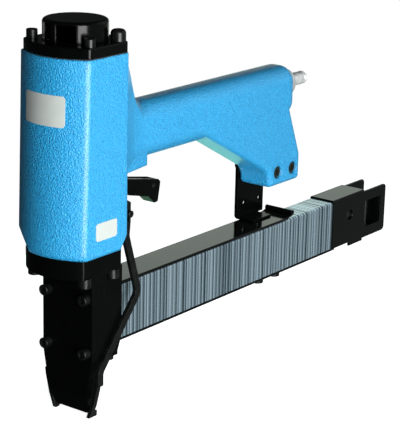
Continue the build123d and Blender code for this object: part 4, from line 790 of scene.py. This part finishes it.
class TACKER_OT_tab(bpy.types.Operator):
    """Bend the dark tab that stands behind the window of the pusher's left cheek"""
    bl_idname = "tacker.tab"
    bl_label = "Pusher tab"

    def execute(self, context):
        sizes = context.scene.tacker_tab
        rear, inner = PUSHER_HIGH.x - sizes.rear, PUSHER_LOW.y + sizes.cheek
        line = [Vector((rear, inner)), Vector((rear, inner + sizes.straight))]
        centre = line[-1] - Vector((sizes.curl, 0.0))
        for step in range(1, TAB_STEPS + 1):
            angle = sizes.turn * step / TAB_STEPS
            line.append(centre + sizes.curl * Vector((math.cos(angle), math.sin(angle))))
        low = PUSHER_LOW.z + sizes.lift
        shape = bmesh.new()
        columns = []
        for number, spot in enumerate(line):
            ahead = line[min(number + 1, len(line) - 1)] - line[max(number - 1, 0)]
            aside = Vector((ahead.y, -ahead.x)).normalized() * sizes.thickness
            columns.append([shape.verts.new((place.x, place.y, z))
                            for place in (spot, spot + aside) for z in (low, low + sizes.height)])
        for left, right in zip(columns, columns[1:]):
            for first, second in ((0, 1), (1, 3), (3, 2), (2, 0)):
                shape.faces.new((left[first], left[second], right[second], right[first]))
        for column in (columns[0], columns[-1]):
            shape.faces.new((column[0], column[1], column[3], column[2]))
        bmesh.ops.recalc_face_normals(shape, faces=shape.faces)
        mesh = bpy.data.meshes.new("tab")
        shape.to_mesh(mesh)
        shape.free()
        mesh.polygons.foreach_set("use_smooth", [True] * len(mesh.polygons))
        mesh.set_sharp_from_angle(angle=math.radians(30.0))
        piece("pusher_tab", mesh, bpy.data.materials["stoved_black"], "pusher")
        return {"FINISHED"}


class TACKER_OT_springs(bpy.types.Operator):
    """Give each spring a mesh of its own"""
    bl_idname = "tacker.springs"
    bl_label = "Springs"

    def execute(self, context):
        for node, (joint, seat, travel) in SPRINGS.items():
            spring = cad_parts[node]
            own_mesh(spring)
        return {"FINISHED"}


class TACKER_PT_panel(bpy.types.Panel):
    """Lists the steps that dress the tacker"""
    bl_idname = "TACKER_PT_panel"
    bl_label = "Staple tacker"
    bl_space_type = "VIEW_3D"
    bl_region_type = "UI"
    bl_category = "Tacker"

    def draw(self, context):
        for operator in OPERATORS:
            self.layout.operator(operator.bl_idname)


GROUPS = {
    "tacker_paint": TackerPaint,
    "tacker_staples": TackerStaples,
    "tacker_plates": TackerPlates,
    "tacker_tab": TackerTab,
    "tacker_stage": TackerStage,
}
OPERATORS = (
    TACKER_OT_stage,
    TACKER_OT_blue_casting,
    TACKER_OT_black_parts,
    TACKER_OT_black_steel,
    TACKER_OT_bare_metal,
    TACKER_OT_seals,
    TACKER_OT_staples,
    TACKER_OT_plates,
    TACKER_OT_tab,
    TACKER_OT_springs,
)


def register():
    for group in GROUPS.values():
        bpy.utils.register_class(group)
    for name, group in GROUPS.items():
        setattr(bpy.types.Scene, name, bpy.props.PointerProperty(type=group))
    for operator in OPERATORS:
        bpy.utils.register_class(operator)
    bpy.utils.register_class(TACKER_PT_panel)


def unregister():
    bpy.utils.unregister_class(TACKER_PT_panel)
    for operator in reversed(OPERATORS):
        bpy.utils.unregister_class(operator)
    for name in GROUPS:
        delattr(bpy.types.Scene, name)
    for group in reversed(GROUPS.values()):
        bpy.utils.unregister_class(group)


def main():
    register()
    bpy.ops.tacker.stage()
    bpy.ops.tacker.blue_casting()
    bpy.ops.tacker.black_parts()
    bpy.ops.tacker.black_steel()
    bpy.ops.tacker.bare_metal()
    bpy.ops.tacker.seals()
    bpy.ops.tacker.staples()
    bpy.ops.tacker.plates()
    bpy.ops.tacker.tab()
    bpy.ops.tacker.springs()


if __name__ == "__main__":
    main()
